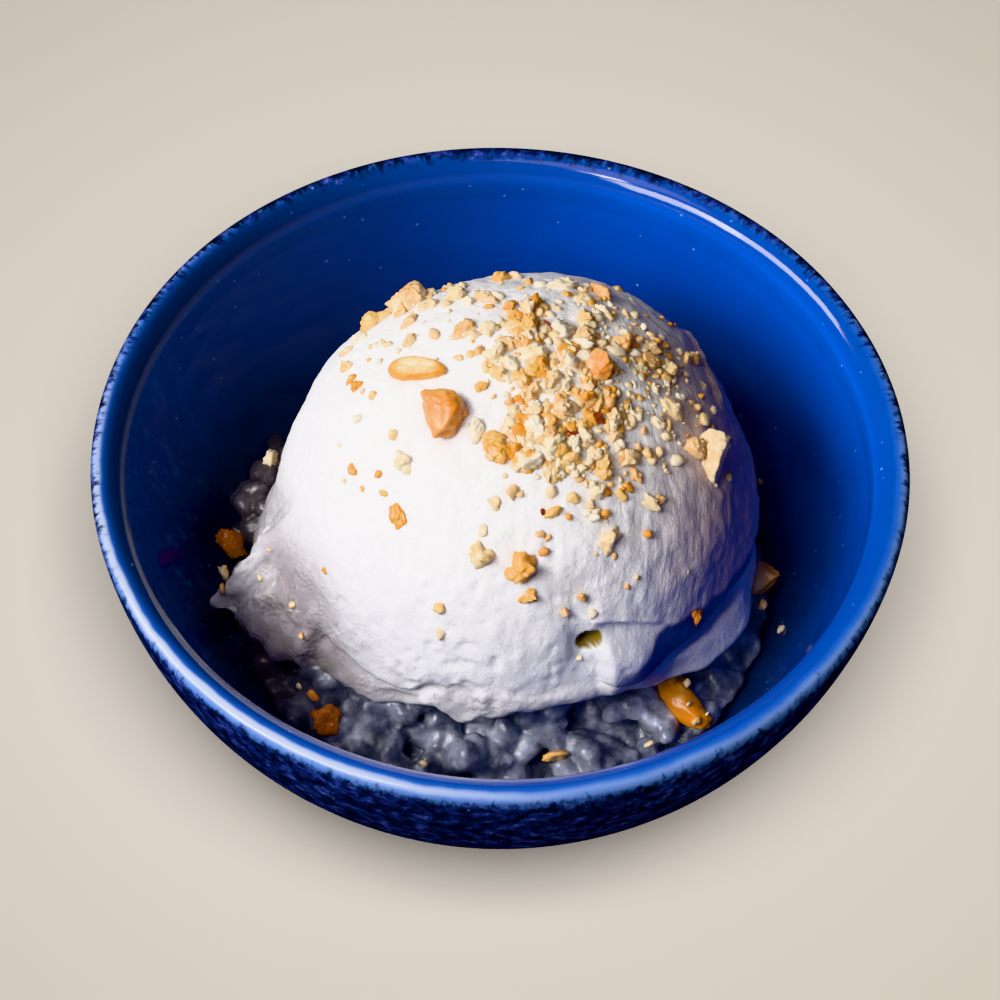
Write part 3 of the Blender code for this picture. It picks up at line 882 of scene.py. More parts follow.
@dataclass
class Bowl:
    """Turned stoneware bowl: belly, wall, lip and foot. Radii and heights of its profile."""

    radius: float = RIM
    rim_height: float = 44.0
    belly_depth: float = 40.0
    belly_foot: float = 25.0
    belly_power: float = 1.46
    belly_roundness: float = 2.42
    wall_at_rim: float = 4.6
    wall_at_base: float = 5.0
    crest: Pair = (1.3, 1.3)
    slope: Rows = (
        (5.1, -2.8), (4.85, -1.4), (4.2, -0.25), (3.3, 0.62), (2.3, 1.12))
    foot_radius: float = 27.0
    foot_width: float = 4.5
    foot_edge: float = 0.6
    base_hollow: float = 3.0
    columns: int = 360
    wall_rows: int = 76
    lip_rows: int = 44
    lip_depth: float = 4.2
    ripple_from: float = 3.0
    ripple_height: float = 0.02
    ripple_gap: float = 5.5
    waver: float = 0.12

    def belly(self, depth: Array) -> Array:
        """Outer radius by depth: foot plus spread times (1 - share^power)^(1/roundness).

        Args:
            depth: distances below the rim.

        Returns:
            Radii, of the same shape.
        """
        share = np.clip(1.0 - (depth / self.belly_depth) ** self.belly_power, 0.0, 1.0)
        spread = share ** (1.0 / self.belly_roundness)
        return self.belly_foot + (self.radius - self.belly_foot) * spread

    def walls(self) -> tuple[Array, Array]:
        """Outer and inner wall points, rim to base; the inner lie one wall thickness in.

        Returns:
            Radius and height of the outer points, and of the inner points.
        """
        step = 1e-4 * self.belly_depth
        share = np.sin(0.5 * np.pi * np.linspace(0.0, 1.0, self.wall_rows))
        depth = np.clip(share * self.belly_depth, 2.0 * step, self.belly_depth - 2.0 * step)
        slope = (self.belly(depth + step) - self.belly(depth - step)) / (2.0 * step)
        normal = np.stack((np.ones_like(slope), slope), axis=1)
        normal /= np.linalg.norm(normal, axis=1, keepdims=True)
        wall = self.wall_at_rim + (self.wall_at_base - self.wall_at_rim) * share
        outer = np.stack((self.belly(depth), self.rim_height - depth), axis=1)
        return outer, outer - wall[:, None] * normal

    def inner_radius(self, height: Array) -> Array:
        """Radius of the inside at a height, read off the inner wall."""
        _, inner = self.walls()
        return np.interp(height, inner[::-1, 1], inner[::-1, 0])

    def lip(self, below: Array) -> Array:
        """Lip from inside to outside: a long round slope, the crest, a quarter ellipse.

        Args:
            below: the inner wall's point where the lip starts.

        Returns:
            Radius and height along a smooth curve through them.
        """
        out, up = self.crest
        turn = np.radians((90.0, 60.0, 35.0, 15.0))
        round_off = np.stack((self.radius - out + out * np.cos(turn),
                              self.rim_height + up * np.sin(turn)), axis=1)
        inside = [(self.radius - inset, self.rim_height + rise) for inset, rise in self.slope]
        ends = [(self.radius, self.rim_height)]
        return curve_through(np.concatenate(([below], inside, round_off, ends)), self.lip_rows)

    def foot(self) -> Array:
        """Foot ring with rounded edges and the hollow under the base.

        Returns:
            Radius and height of each point, from the outside to the centre.
        """
        inside, edge = self.foot_radius - self.foot_width, self.foot_edge
        turn = np.radians(np.linspace(0.0, 90.0, 5))
        outer = np.stack((self.foot_radius - edge + edge * np.cos(turn),
                          edge - edge * np.sin(turn)), axis=1)
        inner = np.stack((inside + edge - edge * np.sin(turn),
                          edge - edge * np.cos(turn)), axis=1)
        top = [(self.foot_radius, self.rim_height - self.belly_depth)]
        hollow = [(inside, self.base_hollow - edge), (inside - edge, self.base_hollow),
                  (0.5 * inside, self.base_hollow), (0.0, self.base_hollow)]
        return np.concatenate((top, outer, inner, hollow))

    def profile(self) -> tuple[Array, Array]:
        """Whole outline from the inside's centre over the lip to the base's centre.

        Returns:
            Radius and height of each point, and its distance along from the crest.
        """
        outer, inner = self.walls()
        inner = inner[inner[:, 1] < self.rim_height - self.lip_depth]
        lip = self.lip(inner[0])
        outer = outer[outer[:, 0] > self.foot_radius + 1.0][1:]
        floor = [(share * inner[-1, 0], inner[-1, 1]) for share in (0.0, 0.4, 0.8)]
        line = np.concatenate((floor, inner[:0:-1], lip, outer, self.foot()))
        along = np.concatenate(([0.0], np.cumsum(np.linalg.norm(np.diff(line, axis=0), axis=1))))
        return line, along - along[np.argmax(line[:, 1])]

    def build(self, material: Material) -> None:
        """Profile turned round Z, with faint throwing ripples inside and a slow waver.

        Args:
            material: the glaze.
        """
        line, lip = self.profile()
        turn = round_turn(self.columns)
        radius, height = line[:, :1], line[:, 1:]
        inside = ease((-lip[:, None] - self.ripple_from) / 3.0) * ease(radius / 20.0)
        ripple = np.sin(2.0 * np.pi * height / self.ripple_gap + 0.8 * np.sin(turn + 1.0))
        circle = turned(1.0, 0.0, turn)
        wobble = self.waver * lattice_noise(1.7 * circle + 0.04 * height[..., None], 5)
        spread = radius + inside * self.ripple_height * ripple + wobble * ease(radius / 40.0)
        spread = np.minimum(spread, self.radius)
        close_grid(turned(spread, height, turn)).make(
            "bowl_glazed", material, "cobalt_glaze", "bowl",
            {"lip": grid_values(np.repeat(lip[:, None], self.columns, axis=1))})


# ---------------------------------------------------------------- ice cream

@dataclass
class IceCream:
    """Ball pressed from a scoop, with a squashed skirt that melts out to a pointed tail.

    Stations round the lower edge hold: angle, height where the dome ends, depth and drop
    of the crease below it, and the skirt's outer edge as reach from the axis and height.
    Swells are azimuth, tilt, spread and height. Parts of the fillet and the skirt, and the
    bulge of the painted blue band of shade, are azimuth and spread; the flap's crease has its
    depth too. Crowds are azimuths with more columns of the grid, their spread and how much
    denser they are.
    """

    centre: Triple = (2.7, 2.0, 27.6)
    radius: float = 34.9
    base_height: float = 24.35
    base_radius: float = 23.5
    skirt_thickness: float = 1.8
    columns: int = 620
    dome_rows: int = 112
    skirt_rows: int = 40
    fillet_steps: int = 90
    fillet_rows: Pair = (17.0, 8.0)
    fillet_parts: Rows = ((-156.0, 15.0, 1.0), (-86.0, 18.0, 0.12))
    lump_height: float = 0.35
    lump_width: float = 9.0
    swells: Rows = (
        (108.0, 54.0, 20.0, -0.7), (52.0, 58.0, 18.0, 0.6), (15.0, 72.0, 14.0, -0.5))
    drag_axis: Pair = (-158.0, 66.0)
    drag_right: Pair = (4.0, 14.0)
    drag_rise: Pair = (-24.0, 16.0)
    drag_gap: float = 1.5
    drag_length: float = 4.5
    drag_height: float = 0.18
    drip_gap: float = 2.4
    drip_length: float = 9.0
    drip_height: float = 0.22
    churn: Rows = ((6.0, 0.22), (2.4, 0.14), (1.1, 0.09))
    skirt_parts: Rows = ((-152.0, 22.0), (-164.0, 7.0), (-98.0, 24.0))
    skirt_lumps: Pair = (4.5, 1.6)
    pit_gap: float = 1.3
    pit_depth: float = 0.2
    shoulder: Pair = (28.0, 57.0)
    front_fold: Pair = (-104.0, 84.0)
    pocket: Pair = (-71.5, 68.8)
    pocket_size: Triple = (1.55, 1.1, 2.4)
    pocket_turn: float = 30.0
    flap_crease: Triple = (-158.5, 2.0, 1.2)
    blue_band_reach: Pair = (2.2, 3.6)
    blue_band_bulge: Pair = (-50.0, 11.0)
    blue_band_ends: Pair = (-72.0, -8.0)
    seam: Pair = (-252.0, 108.0)
    crowds: Rows = ((-164.0, 9.0, 2.2), (-72.0, 7.0, 2.2), (-35.0, 60.0, 0.5))
    stations: Rows = (
        (-172.0, 32.5, 0.0, 0.8, 38.8, 23.0), (-168.0, 35.5, 0.0, 0.8, 42.6, 22.6),
        (-164.0, 37.5, 0.0, 0.8, 47.0, 22.0), (-158.0, 37.5, 0.0, 0.8, 44.5, 22.0),
        (-150.0, 35.5, 0.2, 0.8, 41.8, 22.0), (-144.0, 31.5, 0.8, 0.8, 40.3, 22.0),
        (-139.0, 29.5, 1.2, 0.8, 37.4, 22.0), (-126.0, 27.2, 1.3, 0.9, 35.6, 22.2),
        (-117.0, 27.6, 1.3, 0.9, 33.6, 23.0), (-109.0, 31.3, 1.0, 0.9, 35.4, 28.0),
        (-102.0, 33.5, 0.5, 0.8, 35.2, 25.0), (-96.0, 34.0, 0.1, 0.8, 35.9, 28.2),
        (-88.0, 33.4, 0.0, 0.5, 36.0, 30.4), (-76.0, 34.0, 0.0, 0.5, 35.8, 31.4),
        (-68.0, 33.6, 0.4, 0.8, 35.3, 31.0), (-61.0, 32.8, 1.0, 1.3, 34.0, 28.0),
        (-53.0, 32.2, 1.3, 1.5, 34.2, 26.0), (-40.0, 32.8, 1.6, 1.8, 36.6, 25.6),
        (-28.0, 32.8, 1.7, 1.9, 37.2, 25.6), (-14.0, 32.0, 1.4, 1.8, 35.2, 24.8),
        (5.0, 30.0, 1.2, 1.6, 34.3, 24.0), (60.0, 28.5, 0.3, 0.8, 34.8, 24.0),
        (110.0, 28.5, 0.2, 0.8, 35.6, 23.5), (160.0, 28.5, 0.0, 0.8, 35.2, 23.3),
    )

    def __post_init__(self) -> None:
        """Angles of the grid's columns, and how far down the skirt each row lies."""
        self.degrees = crowded(*self.seam, self.columns, self.crowds)
        skirt = np.linspace(0.0, 1.0, self.skirt_rows)[1:]
        self.rows = np.concatenate((np.zeros(self.dome_rows), skirt, np.ones(3)))[:, None]

    def near(self, azimuth: float, spread: float) -> Array:
        """Bell over the columns, 1 at an azimuth."""
        return bell(self.degrees - azimuth, spread)[None, :]

    def sizes_at(self, degrees: Array) -> Array:
        """Sizes of the lower edge at angles, eased between the stations.

        Args:
            degrees: angles round the axis, shape (n,).

        Returns:
            Dome end, crease, drop, reach and edge height, shape (5, n).
        """
        table = np.array(self.stations)
        whole = np.array((360.0, 0.0, 0.0, 0.0, 0.0, 0.0))
        table = np.vstack((table[-1] - whole, table, table[0] + whole))
        place = (degrees - table[0, 0]) % 360.0 + table[0, 0]
        after = np.clip(np.searchsorted(table[:, 0], place, side="right"), 1, len(table) - 1)
        before = table[after - 1]
        share = ease((place - before[:, 0]) / (table[after, 0] - before[:, 0]))
        return (before[:, 1:] + (table[after, 1:] - before[:, 1:]) * share[:, None]).T

    def dome(self, azimuth: Array, tilt: Array, proud: Array | float = 0.0) -> Array:
        """Points of the dome: a ball with low lumps and a few broad swells.

        Args:
            azimuth: angles round the axis.
            tilt: angles from the crown.
            proud: distance above the surface.

        Returns:
            Points in millimetres, with one more axis than the angles.
        """
        out = unit(azimuth, tilt)
        height = self.lump_height * lattice_noise(out * self.radius / self.lump_width, 11)
        for at, lean, spread, swell in self.swells:
            away = np.degrees(np.arccos(np.clip(out @ unit(at, lean), -1.0, 1.0)))
            height = height + swell * bell(away, spread)
        return np.array(self.centre) + out * (self.radius + height + proud)[..., None]

    def beside(self, points: Array, azimuth: float, tilt: float) -> tuple[Array, Array]:
        """Distances of points eastwards and downwards from a place on the dome.

        Args:
            points: points in millimetres, shape (..., 3).
            azimuth: the place's azimuth.
            tilt: the place's tilt.

        Returns:
            Distance along growing azimuth, and along growing tilt.
        """
        away = points - self.dome(np.array(azimuth), np.array(tilt))
        east = unit(azimuth + 90.0, 90.0)
        down = unit(azimuth, tilt + 90.0)
        near = np.linalg.norm(away, axis=-1) < 30.0
        return np.where(near, away @ east, 1e3), np.where(near, away @ down, 1e3)

    def outline(self) -> Array:
        """Smooth body before its fine relief: dome, crease, skirt and flat base.

        Returns:
            Grid of points in millimetres.
        """
        degrees = self.degrees
        end, crease, drop, reach, edge = self.sizes_at(degrees)
        last = np.degrees(np.arccos((end - self.centre[2]) / self.radius))
        share = np.linspace(0.0, 1.0, self.dome_rows)[:, None]
        dome = self.dome(degrees[None, :] + 0.0 * share, last[None, :] * share)
        axis = np.array(self.centre[:2])
        rim = np.linalg.norm(dome[-1, :, :2] - axis, axis=-1)
        notch, below = rim - crease, end - drop
        under = edge - self.skirt_thickness
        knots = np.stack((
            np.stack((rim, dome[-1, :, 2])),
            np.stack((notch, below)),
            np.stack((0.45 * notch + 0.55 * reach, 0.55 * below + 0.45 * edge + 0.3)),
            np.stack((reach - 0.4, edge + 0.7)),
            np.stack((reach, edge)),
            np.stack((reach - 1.2, under)),
            np.stack((0.5 * (reach + self.base_radius), 0.5 * (under + self.base_height))),
            np.stack((0.0 * reach + self.base_radius, 0.0 * reach + self.base_height)),
        )).transpose(0, 2, 1)
        line = curve_through(knots, self.skirt_rows)[1:]
        line = np.concatenate((line, line[-1:] * (0.6, 1.0), line[-1:] * (0.2, 1.0),
                               line[-1:] * (0.0, 1.0)))
        turn = np.radians(degrees)
        skirt = np.stack((axis[0] + line[..., 0] * np.cos(turn),
                          axis[1] + line[..., 0] * np.sin(turn), line[..., 1]), axis=-1)
        return np.concatenate((dome, skirt))

    def fillet(self, grid: Array) -> Array:
        """Smooth hollow where the ball runs out into the flap on the left.

        Each point near the ball's end moves to the middle of its upper and lower
        neighbours, again and again, so that the corner between them fills out.

        Args:
            grid: points of the body.

        Returns:
            The points with the corner filled.
        """
        row = np.arange(len(grid))[:, None]
        reach, fade = self.fillet_rows
        share = ease((reach - np.abs(row - self.dome_rows)) / fade)
        share = share * np.maximum(*(much * self.near(azimuth, spread)
                                     for azimuth, spread, much in self.fillet_parts))
        share = share[..., None]
        for _ in range(self.fillet_steps):
            middle = 0.5 * (np.roll(grid, 1, axis=0) + np.roll(grid, -1, axis=0))
            grid = grid + share * (middle - grid)
        return grid

    def comb(self, out: Array) -> tuple[Array, Array, Array]:
        """Where the scoop's edge drew threads: circles round an axis to the front.

        Args:
            out: unit vectors from the ball's centre.

        Returns:
            Distance from the axis along the ball, direction round it as unit vectors in
            the plane, and strength of the threads from 0 to 1.
        """
        axis = unit(*self.drag_axis)
        side = np.array((1.0, 0.0, 0.0))
        side = side - (side @ axis) * axis
        side /= np.linalg.norm(side)
        front = np.cross(axis, side)
        across = self.radius * np.arccos(np.clip(out @ axis, -1.0, 1.0))
        flat = np.stack((out @ side, out @ front), axis=-1)
        flat /= np.maximum(np.linalg.norm(flat, axis=-1, keepdims=True), 1e-6)
        right, rise = self.radius * out[..., 0], self.radius * (out @ np.array((0.0, 0.8, 0.6)))
        strength = 1.0
        for away, (start, fade) in ((right, self.drag_right), (rise, self.drag_rise)):
            strength = strength * ease((away - start) / fade)
        return across, flat, strength

    def drag_marks(self, points: Array, out: Array) -> Array:
        """Threads on the right, long drips down the middle, and a churned grain with pits.

        Each is lattice noise: drawn out round the axis, drawn out down the front, or
        even, where only the highest part of the noise makes a pit.

        Args:
            points: points of the body, shape (..., 3).
            out: unit vectors from the ball's centre to them.

        Returns:
            Heights in millimetres.
        """
        across, flat, strength = self.comb(out)
        sweep = flat * across[..., None] / self.drag_length
        place = np.concatenate((across[..., None] / self.drag_gap, sweep), axis=-1)
        height = self.drag_height * strength * layered_noise(place, 21, 2)
        down = points / (self.drip_gap, self.drip_length, self.drip_length)
        middle = np.exp(-((out[..., 0] - 0.25) / 0.35) ** 2) * (0.35 + 0.65 * (1.0 - strength))
        height += self.drip_height * middle * layered_noise(down, 24, 2)
        for number, (gap, tall) in enumerate(self.churn):
            height += tall * lattice_noise(points / gap, 26 + number)
        pits = lattice_noise(points / self.pit_gap, 29)
        return height - self.pit_depth * ease((pits - 0.35) / 0.35) * (1.0 - 0.7 * strength)

    def hollows(self, points: Array) -> tuple[Array, Array]:
        """Air pocket, the dent round it, and a ledge beside it with a hollow under it.

        Args:
            points: points of the body.

        Returns:
            Heights in millimetres, and 1 where an oily colour, darkened by painted shade, lines
            the pocket.
        """
        x, y = self.beside(points, *self.pocket)
        wide, high, deep = self.pocket_size
        turn = math.radians(self.pocket_turn)
        cos, sin = math.cos(turn), math.sin(turn)
        along, across = x * cos - y * sin, x * sin + y * cos
        hole = ease((1.3 - np.hypot(along / wide, across / high)) / 0.5)
        dent = -bell(np.hypot((x + 1.6) / 1.6, (y - 0.8) / 4.4), 1.0)
        low = y + 0.9 - 0.26 * x - 0.012 * x * x
        fold = 0.3 * bell(low + 2.5, 0.6) * ease((x + 1.0) / 2.0) * ease((17.0 - x) / 5.0)
        ledge = (-1.2 + 3.4 * ease((low + 2.2) / 6.0)) * ease((low + 2.6) / 0.9)
        ledge *= ease((x - 0.3) / 2.5) * ease((13.0 - x) / 7.0) * ease((12.0 - low) / 5.0)
        # painted shade: the pocket's inside gets a dark oily colour
        oil_and_shade = ease((1.45 - np.hypot(along / wide, across / high)) / 0.3)
        return dent + fold + ledge - deep * hole, oil_and_shade

    def raised_lip(self, points: Array) -> Array:
        """Thin lip that the scoop's edge left over the right shoulder: a bell along a bow.

        Args:
            points: points of the body.

        Returns:
            Heights in millimetres.
        """
        x, y = self.beside(points, *self.shoulder)
        line = 0.25 * x + 0.012 * x * x
        return 0.75 * bell(y - line, 0.9) * ease((11.0 - np.abs(x)) / 5.0)

    def skirt_relief(self, points: Array) -> tuple[Array, Array]:
        """Folds, lumps and frayed edge of the melted skirt, and where it is wet.

        Args:
            points: grid of the body.

        Returns:
            Heights in millimetres, and wetness from 0 to 1.
        """
        low = ease(self.rows / 0.12) * ease((0.85 - self.rows) / 0.2)
        flap, tail, front = (self.near(*place) for place in self.skirt_parts)
        lumps, small = (layered_noise(points / gap, seed)
                        for gap, seed in zip(self.skirt_lumps, (31, 34)))
        azimuth, spread, deep = self.flap_crease
        crease = -deep * bell(self.degrees[None, :] - azimuth + 5.0 * self.rows, spread) * low
        height = low * ((flap * 1.2 + 0.3) * lumps + flap * 0.65 * small) + crease
        height += low * tail * (0.9 * small + 0.5 * lumps)
        height += low * front * 0.3 * small
        x, y = self.beside(points, *self.front_fold)
        height += 0.8 * bell(np.hypot(x / 9.0, y / 3.0), 1.0) * small
        above = self.near(-154.0, 25.0) * ease((44.0 - points[..., 2]) / 12.0)
        wet = np.clip(above + 0.35 * low, 0.0, 1.0) * (1.0 - 0.7 * self.near(-167.0, 8.0) * low)
        return height, wet

    def film(self, grid: Array) -> Array:
        """Share of painted shade and painted reflection of the blue bowl: a band along the ball's
        lower edge on the right.

        Args:
            grid: points of the body.

        Returns:
            1 in the band and in the crease below it, else 0.
        """
        last = grid[self.dome_rows - 1, :, 2]
        above = grid[..., 2] - last + 0.5 * lattice_noise(grid / 2.5, 37)
        # painted shade and painted reflection of the blue bowl along this band
        thin, bulge = self.blue_band_reach
        reach = thin + bulge * self.near(*self.blue_band_bulge)
        band = ease((reach - above) / 1.2) * ease((0.11 - self.rows) / 0.05)
        start, end = self.blue_band_ends
        ends = ease((self.degrees - start) / 14.0) * ease((end - self.degrees) / 12.0)
        return band * ends[None, :]

    def build(self, material: Material) -> None:
        """The body, with its fine relief laid along its normals.

        Args:
            material: the ice cream.
        """
        grid = self.fillet(self.outline())
        out = grid - np.array(self.centre)
        out /= np.linalg.norm(out, axis=-1, keepdims=True)
        on_dome = ease((0.08 - self.rows) / 0.08)
        relief, wet = self.skirt_relief(grid)
        height = on_dome * (self.drag_marks(grid, out) + self.raised_lip(grid))
        hollows, hole = self.hollows(grid)
        height += ease((0.6 - self.rows) / 0.3) * hollows
        crown = ease(np.linspace(0.0, 1.0, len(self.rows))[:, None] / 0.02)
        base = ease((0.98 - self.rows) / 0.1)
        normals = grid_normals(grid)
        facing = np.sign(np.einsum("...i,...i->...", normals, out).mean())
        grid = grid + facing * normals * ((height + relief) * crown * base)[..., None]
        across, _, strength = self.comb(out)
        values = {"melt": wet, "film": self.film(grid), "hollow": hole,
                  "comb": across, "drawn": (strength * 0.9 + 0.1) * on_dome}
        close_grid(grid).make("ice_cream_scoop", material, "ice_cream", "ice_cream",
                              {name: grid_values(value) for name, value in values.items()})


# ---------------------------------------------------------------- rice

@dataclass
class StickyRice:
    """Heap of steamed rice: a low core with a relief of grains, and grains fused on it."""

    bowl: Bowl
    material: Material
    centre: Pair = (2.7, 2.0)
    top: float = 24.0
    plateau: float = 23.5
    fall_power: float = 0.9
    rim_height: float = 14.5
    rim_swing: float = 1.2
    core_sink: float = 3.6
    core_columns: int = 260
    core_rows: int = 44
    under_rows: int = 9
    pebbles: Pair = (2.6, 0.9)
    grain_size: Triple = (6.4, 4.1, 3.7)
    grain_spread: Triple = (0.16, 0.12, 0.12)
    grain_power: float = 0.38
    grain_bend: Pair = (-0.5, 0.9)
    grain_dents: Pair = (2.2, 0.2)
    grain_rings: int = 12
    grain_columns: int = 12
    grains: int = 520
    gap_size: float = 7.0
    gap_share: float = -0.1
    grain_lean: float = 28.0
    fuse: float = 0.39
    swelling: float = 0.14
    clump: Triple = (-35.0, 7.2, 22.0)

    def surface(self, turn: Array, share: Array) -> Array:
        """Points of the heap's slope, from under the scoop out to the wall.

        Height falls by share^power from the top to an uneven line on the wall.

        Args:
            turn: angles in radians.
            share: 0 at the plateau's edge to 1 at the wall.

        Returns:
            Points in millimetres.
        """
        circle = turned(1.0, 0.0, turn)
        low = self.rim_height + self.rim_swing * lattice_noise(1.3 * circle, 41)
        end = turned(self.bowl.inner_radius(low), 0.0, turn)[..., :2]
        start = self.plateau * circle[..., :2] + self.centre
        flat = start + (end - start) * share[..., None]
        height = self.top - (self.top - low) * np.clip(share, 0.0, 1.0) ** self.fall_power
        return np.concatenate((flat, height[..., None]), axis=-1)

    def core(self) -> None:
        """Closed body under the grains: relief on top, the bowl's curve below."""
        turn = round_turn(self.core_columns)
        share = np.linspace(0.0, 1.0, self.core_rows)[:, None]
        slope = self.surface(turn + 0.0 * share, share + 0.0 * turn)
        gap, tall = self.pebbles
        pebbles = 1.0 - 2.2 * np.abs(lattice_noise(slope / gap, 43))
        slope[..., 2] += -self.core_sink + tall * pebbles * ease((1.0 - share) / 0.15)
        slope[..., :2] *= 1.0 - 0.012 * ease((share - 0.9) / 0.1)[..., None]
        middle = slope[:1] * 0.0 + (*self.centre, self.top - self.core_sink)
        inner = middle + (slope[:1] - middle) * 0.5
        depth = np.linspace(1.0, 0.0, self.under_rows)[1:, None]
        floor = self.bowl.walls()[1][-1, 1] + 0.4
        height = floor + (slope[-1:, :, 2] - floor) * depth
        under = turned(self.bowl.inner_radius(height) - 0.5, height, turn)
        end = np.zeros_like(middle) + (0.0, 0.0, floor)
        close_grid(np.concatenate((middle, inner, slope, under, end))).make(
            "rice_core", self.material, "sticky_rice", "rice_heap")

    def grain_shapes(self, count: int, chance: np.random.Generator) -> tuple[Shell, Array]:
        """Swollen grains lying along X: round across, full in the middle, slightly bent.

        Half-width at a share t along is half of (1 - t^2)^power, larger at one end.

        Args:
            count: number of grains.
            chance: source of the random sizes.

        Returns:
            One grain's shell, and the points of each, shape (count, n, 3).
        """
        base = ball(self.grain_rings, self.grain_columns)
        tall = base.points[:, 2] * 2.0
        around = base.points[:, :2] / np.maximum(
            np.linalg.norm(base.points[:, :2], axis=1, keepdims=True), 1e-9)
        width = 0.5 * np.clip(1.0 - tall**2, 0.0, 1.0) ** self.grain_power * (1.0 + 0.1 * tall)
        plain = np.stack((0.5 * tall, width * around[:, 0], width * around[:, 1]), axis=1)
        size = np.array(self.grain_size) * chance.normal(1.0, self.grain_spread, (count, 3))
        points = plain[None] * size[:, None]
        bend = chance.uniform(*self.grain_bend, (count, 1)) / self.grain_size[0]
        points[..., 1] += bend * points[..., 0] ** 2
        seeds = chance.uniform(0.0, 50.0, (count, 1, 3))
        gap, deep = self.grain_dents
        dents = 1.0 + deep * layered_noise(points / gap + seeds, 47, 2)
        return base, points * dents[..., None]

    def fused(self, shell: Shell) -> Shell:
        """Grains run together where they touch, then swollen by a fine uneven relief.

        A voxel remesh makes one skin of them; noise moves it along its normals.

        Args:
            shell: separate grains.

        Returns:
            Their common skin.
        """
        mesh = bpy.data.meshes.new("fusing")
        faces = shell.triangles.tolist() + shell.quads.tolist()
        mesh.from_pydata(shell.points * MM, [], faces)
        raw = bpy.data.objects.new("fusing", mesh)
        bpy.context.scene.collection.objects.link(raw)
        remesh = raw.modifiers.new("fuse", "REMESH")
        remesh.mode, remesh.voxel_size = "VOXEL", self.fuse * MM
        soften = raw.modifiers.new("soften", "SMOOTH")
        soften.factor, soften.iterations = 0.5, 1
        skin = bpy.data.meshes.new_from_object(
            raw.evaluated_get(bpy.context.evaluated_depsgraph_get()))
        points, normals = (np.empty(3 * len(skin.vertices), np.float32) for _ in range(2))
        skin.vertices.foreach_get("co", points)
        skin.vertex_normals.foreach_get("vector", normals)
        corners = np.empty(len(skin.loops), np.int32)
        skin.loops.foreach_get("vertex_index", corners)
        bpy.data.objects.remove(raw)
        bpy.data.meshes.remove(skin)
        points, normals = points.reshape(-1, 3).astype(float) / MM, normals.reshape(-1, 3)
        points += normals * self.swelling * layered_noise(points, 48, 2)[:, None]
        return Shell(points, np.zeros((0, 3), int), corners.reshape(-1, 4).astype(int))

    def grains_on_top(self) -> int:
        """Grains laid all over the slope in two layers, tumbled, in clumps with gaps.

        Returns:
            Number of grains.
        """
        chance = np.random.default_rng(7)
        number = np.arange(self.grains)
        turn = number * math.radians(GOLDEN_ANGLE) + chance.normal(0.0, 0.12, self.grains)
        share = np.sqrt((number + 0.5) / self.grains) * 0.95 + 0.02
        share = np.clip(share + chance.normal(0.0, 0.02, self.grains), 0.0, 0.93)
        place = self.surface(turn, share)
        layer = chance.random(self.grains)
        place[:, 2] += -2.6 + 3.9 * layer * ease((share - 0.15) / 0.2) - 0.6 * (share < 0.25)
        clumps = lattice_noise(place / self.gap_size, 49)
        place = place[clumps > self.gap_share - 2.0 * (layer < 0.45)]
        clump = np.array(self.clump) + chance.normal(0.0, (1.4, 2.0, 1.4), (6, 3))
        place = np.concatenate((place, clump))
        count = len(place)
        base, points = self.grain_shapes(count, chance)
        spin = chance.uniform(0.0, 2.0 * np.pi, count)
        lean = np.radians(chance.normal(0.0, self.grain_lean, count))
        length = np.stack((np.cos(spin) * np.cos(lean), np.sin(spin) * np.cos(lean),
                           np.sin(lean)), axis=1)
        outwards = place[:, :2] / np.linalg.norm(place[:, :2], axis=1, keepdims=True)
        length[:, 2] -= 0.42 * np.einsum("ij,ij->i", length[:, :2], outwards)
        length /= np.linalg.norm(length, axis=1, keepdims=True)
        turns = standing(length, chance.uniform(0.0, 360.0, count))[:, :, (2, 0, 1)]
        points = np.einsum("nij,nkj->nki", turns, points) + place[:, None]
        room = self.bowl.inner_radius(points[..., 2]) - 0.8
        reach = np.linalg.norm(points[..., :2], axis=-1)
        points[..., :2] *= np.minimum(1.0, room / reach)[..., None]
        self.fused(base.copies(points)).make("rice_grains", self.material, "sticky_rice")
        return count


# ---------------------------------------------------------------- peanuts

@dataclass(frozen=True)
class Chip:
    """How peanut breaks: a lumpy body with flats knocked off it, then roughened."""

    rings: int = 6
    columns: int = 7
    flats: int = 5
    depths: Pair = (0.24, 0.40)
    lumpy: float = 0.45
    rough: float = 0.12
    grit: float = 5.0
    gnarl: float = 0.0
    bed: float = 0.30

    def points(self, sizes: Array, chance: np.random.Generator) -> tuple[Shell, Array]:
        """Broken pieces about the origin, resting on -Z.

        Noise swells the radius, each point beyond a flat is moved back onto it, and a
        finer noise then roughens the radius, as round bumps with creases where gnarled.

        Args:
            sizes: length, width and height of each piece, shape (n, 3).
            chance: source of the random flats.

        Returns:
            One piece's shell, and the points of each, shape (n, k, 3).
        """
        base = ball(self.rings, self.columns)
        count = len(sizes)
        points = np.repeat(base.points[None], count, axis=0)
        seeds = chance.uniform(0.0, 90.0, (count, 1, 3))
        points *= 1.0 + self.lumpy * lattice_noise(points * 2.2 + seeds, 50)[..., None]
        for number in range(self.flats + 1):
            normal = chance.normal(0.0, 1.0, (count, 3))
            depth = chance.uniform(*self.depths, (count, 1))
            if number == 0:
                normal, depth = np.tile((0.0, 0.0, -1.0), (count, 1)), self.bed
            normal = normal / np.linalg.norm(normal, axis=1, keepdims=True)
            beyond = np.einsum("nki,ni->nk", points, normal) - depth
            points -= normal[:, None] * np.maximum(beyond, 0.0)[..., None]
        bumps = layered_noise(points * self.grit + seeds, 51)
        bumps += self.gnarl * (2.0 * np.abs(bumps) - 0.6 - bumps)
        points *= 1.0 + self.rough * bumps[..., None]
        return base, points * sizes[:, None]


